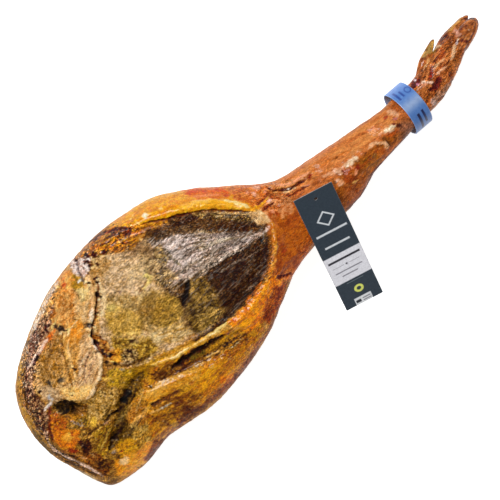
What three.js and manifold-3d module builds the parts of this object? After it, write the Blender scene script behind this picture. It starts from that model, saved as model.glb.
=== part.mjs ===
// A whole cured ham with its trotter, lying on its skin side with the trimmed flesh face up.
// A plastic band hangs round the shank, and a card tag leans from the leg to the surface below.
// Millimetres, +Z up. The ham is drawn with x running from the butt end to the claw tips,
// y to the left of the leg's line and z up from the resting face. The last lines centre it.

import * as THREE from "three";
import { mergeVertices } from "three/addons/utils/BufferGeometryUtils.js";
import Module from "manifold-3d";

// Driving sizes
const LENGTH = 760;
const BUTT_ROUNDING = 55;
const TROTTER_END = 742;
const TROTTER_ROUNDING = 16;
const BODY_STEP = 7;
const LEG_START = 420;
const LEG_STEP = 9;
const TOP_FACETS = 40;
const UNDER_FACETS = 12;
const TOP_SQUARENESS = 2.5;
const UNDER_SQUARENESS = 2.15;
const RIM_SHARE = 0.54;
const GAP = 0.35;

const BAND = { x: 622, y: -22.5, halfWidth: 31.5, bulge: 27.5, height: 27, thickness: 0.9, tilt: 10, turn: -2.5 };
const TAG = { top: [459, -17], bottom: [418, -165], width: 52, thickness: 0.8, corner: 1.2 };
const TAG_HOLE = { radius: 2.2, fromTop: 12 };

const COLOURS = { ham: 0xb9792f, band: 0x7d9fdc, tag: 0x384149 };

// The ham's outline from above and from the side, as [x, value] points that a smooth curve joins.
const LEFT_EDGE = [
  [0, -17], [22, 53], [60, 82], [100, 102], [150, 119], [225, 127], [300, 117], [350, 91], [390, 60],
  [440, 24], [480, 16], [560, 4], [600, -1], [640, -1], [700, 9], [LENGTH, 11],
];
const RIGHT_EDGE = [
  [0, -25], [8, -60], [22, -101], [31, -115], [45, -120], [80, -124], [125, -118], [150, -122], [195, -127.5],
  [250, -122], [300, -110], [350, -88], [380, -75], [415, -69], [500, -63], [540, -52], [600, -47],
  [662, -43.5], [700, -30.5], [720, -21], [LENGTH, -8],
];
const TOP_EDGE = [
  [0, 80], [60, 100], [120, 112], [200, 118], [260, 117], [320, 110], [430, 88], [480, 81], [560, 67],
  [600, 63], [680, 59], [LENGTH, 46],
];
const UNDER_EDGE = [
  [0, 28], [40, 8], [100, -2], [260, -3], [320, 1], [430, 14], [520, 18], [640, 20], [680, 16], [LENGTH, 26],
];

// Relief of the flesh face and the leg. Each form follows a smooth curve, and its width is how far it
// reaches to each side. The fat collar and the folds are ridges, and the seams between muscles are grooves.
const FORMS = [
  { name: "upper collar", rise: 6, width: 12, line: [[176, 124], [245, 112], [308, 90], [358, 55], [394, 12], [397, -10], [387, -28]] },
  { name: "lower collar", rise: 6, width: 14, line: [[387, -28], [350, -61], [280, -71], [207, -54], [176, -42]] },
  { name: "shank tendon", rise: 4, width: 10, line: [[430, 26], [470, 10], [500, 6]] },
  { name: "hock", rise: 4, width: 13, line: [[452, -28], [495, -36], [540, -28]] },
  { name: "shin", rise: 3, width: 9, line: [[560, -30], [590, -28]] },
  { name: "upper flesh edge", rise: -6, width: 9, line: [[213, 108], [272, 92], [318, 66], [362, 36], [386, -2]] },
  { name: "lower flesh edge", rise: -5, width: 9, line: [[382, -16], [344, -46], [290, -55], [239, -48], [174, -30]] },
  { name: "hip seam", rise: -5, width: 8, line: [[194, 86], [172, 51], [144, 22], [147, -8]] },
  { name: "valley", rise: -9, width: 10, line: [[157, -36], [122, -45], [71, -78]] },
  { name: "fat crevice", rise: -6, width: 8, line: [[275, -81], [213, -69], [188, -60]] },
  { name: "joint socket", rise: -10, width: 11, line: [[52, -2], [62, -12], [70, -24]] },
  { name: "rim", rise: -4, width: 8, line: [[140, 94], [74, 52], [38, -8], [36, -74]] },
  { name: "neck cut", rise: -3, width: 7, line: [[412, 25], [444, 6], [480, 0]] },
  { name: "neck crease", rise: -4, width: 8, line: [[352, -60], [366, -70], [380, -73]] },
];
// The right side of a step's line stands higher, and its height fades over `fade` away from the line.
const STEPS = [
  { name: "hip plate", rise: 7, edge: 9, fade: 30, line: [[207, 100], [169, 50], [140, 23], [138, 2], [106, -17], [66, -14]] },
  { name: "fat fold", rise: 6, edge: 9, fade: 26, line: [[153, -54], [197, -70], [240, -87]] },
];
const BUMPS = [
  { name: "butt lobe", rise: 6, radius: 26, at: [92, -98] },
  { name: "muscle crown", rise: 5, radius: 34, at: [225, 30] },
  { name: "muscle hollow", rise: -4, radius: 30, at: [330, 0] },
  { name: "hip crown", rise: 4, radius: 30, at: [95, 35] },
  { name: "hock knob", rise: 3.5, radius: 10, at: [520, -27] },
  { name: "lower hock knob", rise: 3, radius: 9, at: [544, -30] },
  { name: "shin hollow", rise: -2.5, radius: 10, at: [560, -12] },
  { name: "shin knob", rise: 3, radius: 10, at: [587, -26] },
];
const CURVE_STEPS = 24;

// Each claw is a cone that bows upwards. It is narrower at its root inside the foot, and `blunt` at its tip.
// The first two bear weight, the last two are dewclaws.
const CLAWS = [
  { base: [694, -15, 41], tip: [LENGTH, 2, 37], across: 12.5, deep: 10.5, bend: 4, blunt: 3 },
  { base: [686, -1, 30], tip: [750, 14, 26], across: 11.5, deep: 10, bend: 3, blunt: 3 },
  { base: [662, -5, 44], tip: [703, 18.5, 42], across: 9, deep: 7.5, bend: 2, blunt: 1.7 },
  { base: [658, -3, 27], tip: [696, 13, 21], across: 8, deep: 6.5, bend: 2, blunt: 1.7 },
];
const CLAW_ROOT = { size: 0.5, length: 0.45 };
const CLAW_RINGS = 8;
const CLAW_FACETS = 12;

const clamp01 = (t) => Math.min(1, Math.max(0, t));
const smooth = (t) => clamp01(t) ** 2 * (3 - 2 * clamp01(t));

// A smooth function of x through [x, value] points that never swings past its neighbours.
// It runs in the square root of x, because the outline opens like a parabola at the butt.
function throughPoints(pointsInX) {
  const points = pointsInX.map(([x, value]) => [Math.sqrt(x), value]);
  const slopes = points.map((p, i) => {
    const before = points[Math.max(0, i - 1)];
    const after = points[Math.min(points.length - 1, i + 1)];
    const back = i > 0 ? (p[1] - before[1]) / (p[0] - before[0]) : 0;
    const ahead = i < points.length - 1 ? (after[1] - p[1]) / (after[0] - p[0]) : 0;
    if (i === 0) return ahead;
    return back * ahead <= 0 ? 0 : (2 * back * ahead) / (back + ahead);
  });
  return (x) => {
    const root = Math.sqrt(x);
    const after = points.findIndex((p) => p[0] > root);
    const i = after > 0 ? after - 1 : points.length - 2;
    const span = points[i + 1][0] - points[i][0];
    const t = clamp01((root - points[i][0]) / span);
    const square = t * t;
    const cube = square * t;
    return (2 * cube - 3 * square + 1) * points[i][1] + (cube - 2 * square + t) * span * slopes[i]
      + (3 * square - 2 * cube) * points[i + 1][1] + (cube - square) * span * slopes[i + 1];
  };
}
const leftAt = throughPoints(LEFT_EDGE);
const rightAt = throughPoints(RIGHT_EDGE);
const topAt = throughPoints(TOP_EDGE);
const underAt = throughPoints(UNDER_EDGE);

const smoothLine = ({ line }) => new THREE.SplineCurve(line.map((p) => new THREE.Vector2(...p))).getPoints(CURVE_STEPS);
const formCurves = FORMS.map(smoothLine);
const stepCurves = STEPS.map(smoothLine);

// Distance from (x, y) to a curve, and on which side of its direction the point lies: 1 is left, -1 is right.
function fromCurve(curve, x, y) {
  let nearest = Infinity;
  let side = 1;
  for (let i = 0; i < curve.length - 1; i++) {
    const start = curve[i];
    const dx = curve[i + 1].x - start.x;
    const dy = curve[i + 1].y - start.y;
    const t = clamp01(((x - start.x) * dx + (y - start.y) * dy) / (dx * dx + dy * dy));
    const distance = Math.hypot(x - start.x - t * dx, y - start.y - t * dy);
    if (distance < nearest) {
      nearest = distance;
      side = dx * (y - start.y) > dy * (x - start.x) ? 1 : -1;
    }
  }
  return { distance: nearest, side };
}

function reliefAt(x, y) {
  let height = 0;
  for (const [i, form] of FORMS.entries()) {
    height += form.rise * Math.exp(-((fromCurve(formCurves[i], x, y).distance / form.width) ** 2));
  }
  for (const [i, step] of STEPS.entries()) {
    const { distance, side } = fromCurve(stepCurves[i], x, y);
    const share = side < 0 ? smooth(distance / step.edge) * Math.exp(-distance / step.fade) : 0;
    height += step.rise * share;
  }
  for (const bump of BUMPS) {
    height += bump.rise * Math.exp(-((Math.hypot(x - bump.at[0], y - bump.at[1]) / bump.radius) ** 2));
  }
  return height;
}

// Rounds the section's height off towards the two ends.
function endRounding(x) {
  const butt = clamp01(x / BUTT_ROUNDING);
  const trotter = clamp01((TROTTER_END - x) / TROTTER_ROUNDING);
  return Math.sqrt(1 - (1 - butt) ** 2) * Math.sqrt(1 - (1 - trotter) ** 2);
}

// The point of the section at x that lies at `turn`: 0 to 1 over the top from left to right, 1 to 2 back underneath.
function hamPoint(x, turn) {
  const over = turn <= 1;
  const share = over ? turn : turn - 1;
  const even = 1 - 2 * share;
  const across = (0.7 * even + 0.3 * Math.cos(Math.PI * share)) * (over ? 1 : -1);
  const power = over ? TOP_SQUARENESS : UNDER_SQUARENESS;
  const lift = (1 - Math.abs(across) ** power) ** (1 / power);
  const top = topAt(x);
  const under = underAt(x);
  const rim = under + RIM_SHARE * (top - under);
  const rounding = endRounding(x);
  const middle = (leftAt(x) + rightAt(x)) / 2;
  const narrowing = x > TROTTER_END - TROTTER_ROUNDING ? rounding : 1;
  const y = middle + (across * narrowing * (leftAt(x) - rightAt(x))) / 2;
  if (!over) return new THREE.Vector3(x, y, Math.max(0, rim - rounding * lift * (rim - under)));
  const relief = reliefAt(x, y) * smooth((lift - 0.3) / 0.5) * rounding;
  return new THREE.Vector3(x, y, rim + rounding * lift * (top - rim) + relief);
}

// A closed solid of rings of points, with one point at each end. Each four-sided patch is split along its more level diagonal.
function loft(rings, first, last) {
  const count = rings[0].length;
  const points = [first, ...rings.flat(), last];
  const faces = [];
  const patch = (a, b, c, d) => {
    const level = Math.abs(points[a].z - points[c].z) < Math.abs(points[b].z - points[d].z);
    faces.push(...(level ? [a, b, c, a, c, d] : [a, b, d, b, c, d]));
  };
  for (let j = 0; j < count; j++) {
    const next = (j + 1) % count;
    faces.push(0, 1 + next, 1 + j);
    for (let i = 0; i < rings.length - 1; i++) {
      const a = 1 + i * count;
      const b = a + count;
      patch(a + j, a + next, b + next, b + j);
    }
    const end = 1 + (rings.length - 1) * count;
    faces.push(end + j, end + next, points.length - 1);
  }
  const geometry = new THREE.BufferGeometry();
  geometry.setAttribute("position", new THREE.Float32BufferAttribute(points.flatMap((p) => p.toArray()), 3));
  geometry.setIndex(faces);
  return geometry;
}

function ringPlaces() {
  const places = [];
  const buttRings = 8;
  for (let i = 1; i <= buttRings; i++) places.push(BUTT_ROUNDING * (1 - Math.cos((Math.PI / 2) * (i / buttRings))));
  const trotterStart = TROTTER_END - TROTTER_ROUNDING;
  for (let x = BUTT_ROUNDING + BODY_STEP; x < trotterStart; x += x < LEG_START ? BODY_STEP : LEG_STEP) places.push(x);
  const trotterRings = 3;
  for (let i = 0; i < trotterRings; i++) places.push(TROTTER_END - TROTTER_ROUNDING * (1 - Math.sin((Math.PI / 2) * (i / trotterRings))));
  return places;
}

function hamBody() {
  const facets = TOP_FACETS + UNDER_FACETS;
  const turnOf = (j) => (j < TOP_FACETS ? j / TOP_FACETS : 1 + (j - TOP_FACETS) / UNDER_FACETS);
  const rings = ringPlaces().map((x) => Array.from({ length: facets }, (_, j) => hamPoint(x, turnOf(j))));
  const endPoint = (x) => new THREE.Vector3(x, (leftAt(x) + rightAt(x)) / 2, underAt(x) + RIM_SHARE * (topAt(x) - underAt(x)));
  return loft(rings, endPoint(0), endPoint(TROTTER_END));
}

// A pointed claw: its rings shrink along a line from base to tip that bows upwards by `bend`.
function claw({ base, tip, across, deep, bend, blunt }) {
  const start = new THREE.Vector3(...base);
  const end = new THREE.Vector3(...tip);
  const along = end.clone().sub(start).normalize();
  const sideways = new THREE.Vector3(0, 0, 1).cross(along).normalize();
  const upward = along.clone().cross(sideways);
  const centre = (t) => start.clone().lerp(end, t).addScaledVector(upward, bend * Math.sin(Math.PI * t));
  const rings = [];
  for (let i = 1; i < CLAW_RINGS; i++) {
    const t = Math.sin((Math.PI / 2) * (i / CLAW_RINGS));
    const root = CLAW_ROOT.size + (1 - CLAW_ROOT.size) * smooth(t / CLAW_ROOT.length);
    const size = root * Math.sqrt(1 - t ** blunt);
    rings.push(Array.from({ length: CLAW_FACETS }, (_, j) => {
      const angle = (2 * Math.PI * j) / CLAW_FACETS;
      return centre(t).addScaledVector(sideways, across * size * Math.cos(angle))
        .addScaledVector(upward, deep * size * Math.sin(angle));
    }));
  }
  return loft(rings, centre(0), end);
}

const wasm = await Module();
wasm.setup();

function solidOf(geometry) {
  const bare = geometry.clone();
  bare.deleteAttribute("normal");
  bare.deleteAttribute("uv");
  const merged = mergeVertices(bare, 1e-3);
  const mesh = new wasm.Mesh({
    numProp: 3,
    vertProperties: merged.attributes.position.array,
    triVerts: new Uint32Array(merged.index.array),
  });
  const solid = new wasm.Manifold(mesh);
  if (solid.volume() < 0) throw new Error("a solid is inside out");
  return solid;
}

function geometryOf(solid) {
  const mesh = solid.getMesh();
  const geometry = new THREE.BufferGeometry();
  geometry.setAttribute("position", new THREE.BufferAttribute(mesh.vertProperties, 3));
  geometry.setIndex(new THREE.BufferAttribute(mesh.triVerts, 1));
  geometry.computeVertexNormals();
  return geometry;
}

function hamGeometry() {
  return geometryOf(CLAWS.reduce((solid, form) => solid.add(solidOf(claw(form))), solidOf(hamBody())));
}

const bowRadius = (halfWidth, bulge) => (halfWidth ** 2 + bulge ** 2) / (2 * bulge);

// The band is a flattened loop: two bowed faces that meet at a crease on each side of the shank.
function bandGeometry() {
  const bow = (halfWidth, bulge) => {
    const radius = bowRadius(halfWidth, bulge);
    const reach = Math.asin(halfWidth / radius);
    const points = [];
    const steps = 14;
    for (const face of [1, -1]) {
      for (let i = 0; i < steps; i++) {
        const angle = reach * (1 - (2 * i) / steps) * face;
        points.push(new THREE.Vector2(radius * Math.sin(angle), face * (radius * Math.cos(angle) - radius + bulge)));
      }
    }
    return points;
  };
  const outline = new THREE.Shape(bow(BAND.halfWidth, BAND.bulge));
  outline.holes.push(new THREE.Path(bow(BAND.halfWidth - 2 * BAND.thickness, BAND.bulge - BAND.thickness)));
  const geometry = new THREE.ExtrudeGeometry(outline, { depth: BAND.height, bevelEnabled: false, steps: 1 });
  geometry.translate(0, 0, -BAND.height / 2);
  // The outline's x and y become the band's y and z, and its height runs along the shank.
  geometry.rotateX(Math.PI / 2);
  geometry.rotateZ(Math.PI / 2);
  return geometry;
}

function tagGeometry(length) {
  const { width, corner, thickness } = TAG;
  const outline = new THREE.Shape();
  outline.moveTo(-width / 2 + corner, 0);
  outline.lineTo(width / 2 - corner, 0);
  outline.absarc(width / 2 - corner, corner, corner, -Math.PI / 2, 0);
  outline.lineTo(width / 2, length - corner);
  outline.absarc(width / 2 - corner, length - corner, corner, 0, Math.PI / 2);
  outline.lineTo(-width / 2 + corner, length);
  outline.absarc(-width / 2 + corner, length - corner, corner, Math.PI / 2, Math.PI);
  outline.lineTo(-width / 2, corner);
  outline.absarc(-width / 2 + corner, corner, corner, Math.PI, 1.5 * Math.PI);
  const hole = new THREE.Path();
  hole.absarc(0, length - TAG_HOLE.fromTop, TAG_HOLE.radius, 0, 2 * Math.PI);
  outline.holes.push(hole);
  return new THREE.ExtrudeGeometry(outline, { depth: thickness, bevelEnabled: false, curveSegments: 4 });
}

function named(name, geometry, roughness) {
  const material = new THREE.MeshStandardMaterial({ color: COLOURS[name], roughness, metalness: 0 });
  const mesh = new THREE.Mesh(geometry, material);
  mesh.name = name;
  return mesh;
}

const hamMesh = named("ham", hamGeometry(), 0.45);

function hamPoints() {
  const position = hamMesh.geometry.getAttribute("position");
  return Array.from({ length: position.count }, (_, i) => new THREE.Vector3().fromBufferAttribute(position, i));
}

// The band settles on the shank until the inside of its upper face is a gap away from the skin.
function placeBand(mesh) {
  const halfWidth = BAND.halfWidth - 2 * BAND.thickness;
  const bulge = BAND.bulge - BAND.thickness;
  const radius = bowRadius(halfWidth, bulge);
  const upright = new THREE.Vector3(0, 0, 1).applyQuaternion(mesh.quaternion).z;
  const back = mesh.quaternion.clone().invert();
  mesh.position.set(BAND.x, BAND.y, topAt(BAND.x) - bulge);
  const settlings = 4;
  for (let i = 0; i < settlings; i++) {
    let lift = -Infinity;
    for (const point of hamPoints()) {
      const local = point.sub(mesh.position).applyQuaternion(back);
      if (Math.abs(local.x) > BAND.height / 2 + LEG_STEP || Math.abs(local.y) > halfWidth) continue;
      const inside = Math.sqrt(radius ** 2 - local.y ** 2) - radius + bulge;
      lift = Math.max(lift, (local.z - inside + GAP) / upright);
    }
    mesh.position.z += lift;
  }
}

// The tag stands on its lower edge and leans back until it touches the leg.
function placeTag() {
  const foot = new THREE.Vector2(...TAG.bottom);
  const head = new THREE.Vector2(...TAG.top);
  const run = head.clone().sub(foot);
  const reach = run.length();
  run.normalize();
  let slope = 0;
  for (const point of hamPoints()) {
    const offset = new THREE.Vector2(point.x, point.y).sub(foot);
    const along = offset.dot(run);
    const aside = Math.abs(offset.cross(run));
    if (along > 0 && along < reach + LEG_STEP && aside < TAG.width / 2 + BODY_STEP) {
      slope = Math.max(slope, (point.z + 2 * GAP) / along);
    }
  }
  const lean = Math.atan(slope);
  const mesh = named("tag", tagGeometry(reach / Math.cos(lean)), 0.5);
  const upward = new THREE.Vector3(run.x * Math.cos(lean), run.y * Math.cos(lean), Math.sin(lean));
  const sideways = new THREE.Vector3(run.y, -run.x, 0);
  const outward = sideways.clone().cross(upward);
  mesh.quaternion.setFromRotationMatrix(new THREE.Matrix4().makeBasis(sideways, upward, outward));
  mesh.position.set(foot.x, foot.y, 0);
  return mesh;
}

const bandMesh = named("band", bandGeometry(), 0.4);
bandMesh.rotation.set(0, THREE.MathUtils.degToRad(BAND.tilt), THREE.MathUtils.degToRad(BAND.turn), "ZYX");
placeBand(bandMesh);
const tagMesh = placeTag();

const curedHam = new THREE.Group();
curedHam.add(hamMesh, bandMesh, tagMesh);

// The origin is the middle of the whole, on the surface that it rests on.
const bounds = new THREE.Box3().setFromObject(curedHam);
curedHam.position.set(-(bounds.min.x + bounds.max.x) / 2, -(bounds.min.y + bounds.max.y) / 2, -bounds.min.z);

export default curedHam;
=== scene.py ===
"""Looks of a whole cured ham with its trotter, a plastic band round the shank and a card tag on the leg.

Shapes are worked out in millimetres in the ham's drawing frame: x runs from the butt end to the claw
tips, y to the left of the leg's line and z up from the resting face. Meshes are in metres, in the row frame.
The paint and the fine relief are placed by pixels of the 500 x 500 photograph, which looks straight down.
"""

import math

import bpy
import numpy as np
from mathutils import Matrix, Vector


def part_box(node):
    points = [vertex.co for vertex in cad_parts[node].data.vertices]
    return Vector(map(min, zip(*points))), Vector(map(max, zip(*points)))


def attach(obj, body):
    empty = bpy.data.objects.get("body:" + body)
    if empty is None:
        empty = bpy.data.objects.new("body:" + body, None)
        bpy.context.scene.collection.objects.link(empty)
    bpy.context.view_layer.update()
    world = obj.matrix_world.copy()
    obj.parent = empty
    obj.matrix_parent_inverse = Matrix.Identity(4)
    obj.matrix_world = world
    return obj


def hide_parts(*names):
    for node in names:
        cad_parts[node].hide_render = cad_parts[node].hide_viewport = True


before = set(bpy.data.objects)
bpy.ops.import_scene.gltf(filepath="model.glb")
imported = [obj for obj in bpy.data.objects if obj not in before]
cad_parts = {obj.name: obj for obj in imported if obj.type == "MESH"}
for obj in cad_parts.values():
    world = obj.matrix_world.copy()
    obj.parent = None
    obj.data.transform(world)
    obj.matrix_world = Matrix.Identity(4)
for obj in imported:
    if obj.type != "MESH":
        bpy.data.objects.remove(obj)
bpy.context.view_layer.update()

MM = 0.001
# Where the drawing frame's origin lies in the row frame, in millimetres
ORIGIN = np.array([-380.0, 22.711, 0.0])

# The photograph: its scale, how many degrees the ham rises to the right in it, and where the drawing
# frame's origin lies, in pixels along the ham's axes
PHOTO_SIZE = 500
MM_PER_PIXEL = 760 / 611
HAM_ANGLE = 43
PHOTO_TURN = math.radians(HAM_ANGLE)
PHOTO_ORIGIN = (-273.4, -339.25)
LENS = 135
SENSOR = 36
SHARP_HEIGHT = 60
CAMERA_RISE = PHOTO_SIZE * MM_PER_PIXEL * LENS / SENSOR

# The ham's form, as in the solid
LENGTH = 760
BUTT_ROUNDING = 55
TROTTER_END = 742
TROTTER_ROUNDING = 16
LEG_START = 420
TOP_SQUARENESS = 2.5
UNDER_SQUARENESS = 2.15
RIM_SHARE = 0.54
LEFT_EDGE = [
    (0, -17), (22, 53), (60, 82), (100, 102), (150, 119), (225, 127), (300, 117), (350, 91), (390, 60),
    (440, 24), (480, 16), (560, 4), (600, -1), (640, -1), (700, 9), (LENGTH, 11),
]
RIGHT_EDGE = [
    (0, -25), (8, -60), (22, -101), (31, -115), (45, -120), (80, -124), (125, -118), (150, -122),
    (195, -127.5), (250, -122), (300, -110), (350, -88), (380, -75), (415, -69), (500, -63), (540, -52),
    (600, -47), (662, -43.5), (700, -30.5), (720, -21), (LENGTH, -8),
]
TOP_EDGE = [
    (0, 80), (60, 100), (120, 112), (200, 118), (260, 117), (320, 110), (430, 88), (480, 81), (560, 67),
    (600, 63), (680, 59), (LENGTH, 46),
]
UNDER_EDGE = [
    (0, 28), (40, 8), (100, -2), (260, -3), (320, 1), (430, 14), (520, 18), (640, 20), (680, 16),
    (LENGTH, 26),
]
# Large relief in millimetres: rise, reach to each side, line
FORMS = {
    "upper collar": (
        6, 12, [(176, 124), (245, 112), (308, 90), (358, 55), (394, 12), (397, -10), (387, -28)],
    ),
    "lower collar": (6, 14, [(387, -28), (350, -61), (280, -71), (207, -54), (176, -42)]),
    "shank tendon": (4, 10, [(430, 26), (470, 10), (500, 6)]),
    "hock": (4, 13, [(452, -28), (495, -36), (540, -28)]),
    "shin": (3, 9, [(560, -30), (590, -28)]),
    "upper flesh edge": (-6, 9, [(213, 108), (272, 92), (318, 66), (362, 36), (386, -2)]),
    "lower flesh edge": (-5, 9, [(382, -16), (344, -46), (290, -55), (239, -48), (174, -30)]),
    "hip seam": (-5, 8, [(194, 86), (172, 51), (144, 22), (147, -8)]),
    "valley": (-9, 10, [(157, -36), (122, -45), (71, -78)]),
    "fat crevice": (-6, 8, [(275, -81), (213, -69), (188, -60)]),
    "joint socket": (-10, 11, [(52, -2), (62, -12), (70, -24)]),
    "rim": (-4, 8, [(140, 94), (74, 52), (38, -8), (36, -74)]),
    "neck cut": (-3, 7, [(412, 25), (444, 6), (480, 0)]),
    "neck crease": (-4, 8, [(352, -60), (366, -70), (380, -73)]),
}
# Rise on the right side of the line, width of the edge, distance over which it fades, line
STEPS = {
    "hip plate": (7, 9, 30, [(207, 100), (169, 50), (140, 23), (138, 2), (106, -17), (66, -14)]),
    "fat fold": (6, 9, 26, [(153, -54), (197, -70), (240, -87)]),
}
# Rise, radius, place
BUMPS = {
    "butt lobe": (6, 26, (92, -98)),
    "muscle crown": (5, 34, (225, 30)),
    "muscle hollow": (-4, 30, (330, 0)),
    "hip crown": (4, 30, (95, 35)),
    "hock knob": (3.5, 10, (520, -27)),
    "lower hock knob": (3, 9, (544, -30)),
    "shin hollow": (-2.5, 10, (560, -12)),
    "shin knob": (3, 10, (587, -26)),
}
# Root, tip, half width, half depth, upward bow, bluntness
CLAWS = {
    "upper_claw": ((694, -14, 41), (762, 2, 36), 12.5, 10.5, 4, 5),
    "lower_claw": ((688, 2, 32), (758, 11.5, 28), 10, 10, 3, 2.6),
    "upper_dewclaw": ((656, -3, 44), (704, 19, 41.5), 7.5, 6.5, 2, 1.6),
    "lower_dewclaw": ((658, -3, 27), (697, 13.5, 21), 7.5, 6.5, 2, 1.6),
}
CLAW_ROOT_SIZE = 0.5
CLAW_ROOT_LENGTH = 0.45
CURVE_STEPS = 24

# The band: two bowed faces that meet at a crease on each side of the shank
BAND_HALF_WIDTH = 31.5
BAND_BULGE = 27.5
BAND_HEIGHT = 27
BAND_THICKNESS = 0.9
BAND_TILT = math.radians(10)
BAND_TURN = math.radians(-2.5)
BAND_STRETCH = (600, 644)

# The tag: the middles of its lower and upper edge as seen from above, and how steeply it leans
TAG_FOOT = np.array([418.0, -165.0])
TAG_HEAD = np.array([459.0, -17.0])
TAG_LEAN = math.radians(37.96)
TAG_WIDTH = 52
TAG_THICKNESS = 0.8
TAG_CORNER = 1.2
TAG_HOLE_RADIUS = 2.2
TAG_HOLE_FROM_TOP = 12
TAG_CURL = 1.0

# Fineness of the looks' mesh
BUTT_RINGS = 50
BODY_STEP = 1.35
LEG_STEP = 2.2
TROTTER_RINGS = 9
TOP_FACETS = 178
UNDER_FACETS = 32

# The light: the sky's radiance, the floor's, and the key lamp's place, size, power and what it adds facing it
SKY = 0.3
FLOOR_GLOW = 0.9
FLOOR_ALBEDO = 0.5
LAMP_PLACE = np.array([-0.05, 0.8, 1.6])
LAMP_SIZE = 0.8
LAMP_POWER = 42
LAMP_LIGHT = LAMP_POWER / (math.pi**2 * (LAMP_PLACE @ LAMP_PLACE))
# How much of the large forms' shading is in the painted colours already, as in the photograph
SHADING_HELD = 0.8
# How much light the sheen adds to every colour, dry and wet, and the least share of a colour that is kept
DRY_HAZE = 0.004
WET_HAZE = 0.035
DARKEST_SHARE = 0.15

# How much fine and coarser grain and wrinkles lighten and darken the paint where the grit is 1
GRAIN_FINE = 0.3
GRAIN_MIDDLE = 0.08
WRINKLES = 0.2
# What makes up for the light that the grain takes, the darkest shade it gives and the brightest colour left
GRAIN_LIGHTENING = 1.03
DARKEST_GRAIN = 0.25
BRIGHTEST = 252
# How strong the painted lip highlights of furrows and the small painted glints are, and how deep a stroke
# must be to get a lip highlight
LIP_HIGHLIGHTS = 0.4
GLINTS = 0.7
GLINT_COLOUR = np.array([255.0, 238.0, 214.0])
FURROW_RISE = -0.8
# A lip highlight's painted colour, as a factor and an addition to what it lies on
LIP_GAIN = 1.3
LIP_LIFT = 26
# A lip highlight's distance and width, in pixels beside a furrow and in radii round a pit
FURROW_LIP = (1.3, 0.9)
PIT_LIP = (1.7, 0.4)
PIT_LIP_STRENGTH = 1.2
# How uneven the width of a stroke is
STROKE_UNEVENNESS = 0.35
# The grit of dark paint, what bright paint loses of it, and where that starts and over what range, out of 255
DARK_GRIT = 1.1
BRIGHT_LOSS = 0.6
BRIGHT_START = 140
BRIGHT_RANGE = 110
# Height of the grain and the wrinkles, in millimetres, and how wrinkled paint without grit is
FINE_RELIEF = 0.1
MIDDLE_RELIEF = 0.2
WRINKLE_RELIEF = 0.3
SMOOTH_WRINKLES = 0.3
# Width of the cells and size of the shifts that make a region's edge uneven, in pixels
COARSE_EDGE = (7, 1.3)
FINE_EDGE = (2.4, 0.9)
# What a surface has before paint_textures sets it by region
PLAIN_GLOSS = 0.4
PLAIN_GRIT = 0.5
PLAIN_STRAND = 0.03
# The share of its gloss that black keeps, and how much brighter, out of 255, adds a whole share
BLACK_GLOSS = 0.15
GLOSS_BRIGHTNESS = 110
# How far under the rim the paint of the top gives way to plain rind, in millimetres
RIM_FADE = 14


def clamp01(t):
    return np.clip(t, 0.0, 1.0)


def smooth(t):
    t = clamp01(t)
    return t * t * (3 - 2 * t)


# The photograph and the drawing frame

def camera_spot():
    """The point on the drawing frame's floor plan that the middle of the photograph looks at."""
    middle = PHOTO_SIZE / 2
    turned_x = middle * (math.cos(PHOTO_TURN) - math.sin(PHOTO_TURN))
    turned_y = -middle * (math.cos(PHOTO_TURN) + math.sin(PHOTO_TURN))
    return np.array([turned_x - PHOTO_ORIGIN[0], turned_y - PHOTO_ORIGIN[1]]) * MM_PER_PIXEL


def photo_place(points):
    """Where points of the drawing frame lie in the photograph, in pixels."""
    spot = camera_spot()
    nearer = CAMERA_RISE / (CAMERA_RISE - (points[:, 2] - SHARP_HEIGHT))
    flat = spot + (points[:, :2] - spot) * nearer[:, None]
    turned = flat / MM_PER_PIXEL + np.array(PHOTO_ORIGIN)
    across = turned[:, 0] * math.cos(PHOTO_TURN) - turned[:, 1] * math.sin(PHOTO_TURN)
    down = -turned[:, 0] * math.sin(PHOTO_TURN) - turned[:, 1] * math.cos(PHOTO_TURN)
    return np.stack([across, down], axis=1)


def in_row_frame(points):
    return (points + ORIGIN) * MM


# Curves

def through_points(points):
    """A smooth function through (x, value) points that never swings past its neighbours."""
    roots = np.sqrt([x for x, _ in points])
    values = np.array([value for _, value in points], float)
    steps = np.diff(values) / np.diff(roots)
    slopes = np.zeros(len(values))
    slopes[0] = steps[0]
    back, ahead = steps[:-1], steps[1:]
    same_way = back * ahead > 0
    slopes[1:-1][same_way] = (2 * back * ahead / np.where(same_way, back + ahead, 1))[same_way]

    def curve(x):
        root = np.sqrt(np.maximum(x, 0))
        i = np.clip(np.searchsorted(roots, root, side="right") - 1, 0, len(roots) - 2)
        span = roots[i + 1] - roots[i]
        t = clamp01((root - roots[i]) / span)
        square, cube = t**2, t**3
        return (
            (2 * cube - 3 * square + 1) * values[i] + (cube - 2 * square + t) * span * slopes[i]
            + (3 * square - 2 * cube) * values[i + 1] + (cube - square) * span * slopes[i + 1]
        )

    return curve


left_at = through_points(LEFT_EDGE)
right_at = through_points(RIGHT_EDGE)
top_at = through_points(TOP_EDGE)
under_at = through_points(UNDER_EDGE)


def smooth_line(points, steps=CURVE_STEPS):
    """A Catmull-Rom curve through the points, as steps + 1 points along it."""
    points = np.asarray(points, float)
    place = np.linspace(0, len(points) - 1, steps + 1)
    i = np.minimum(place.astype(int), len(points) - 2)
    t = (place - i)[:, None]
    before = points[np.maximum(i - 1, 0)]
    start, end = points[i], points[i + 1]
    after = points[np.minimum(i + 2, len(points) - 1)]
    start_slope, end_slope = (end - before) / 2, (after - start) / 2
    return (
        (2 * start - 2 * end + start_slope + end_slope) * t**3
        + (-3 * start + 3 * end - 2 * start_slope - end_slope) * t**2 + start_slope * t + start
    )


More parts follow.
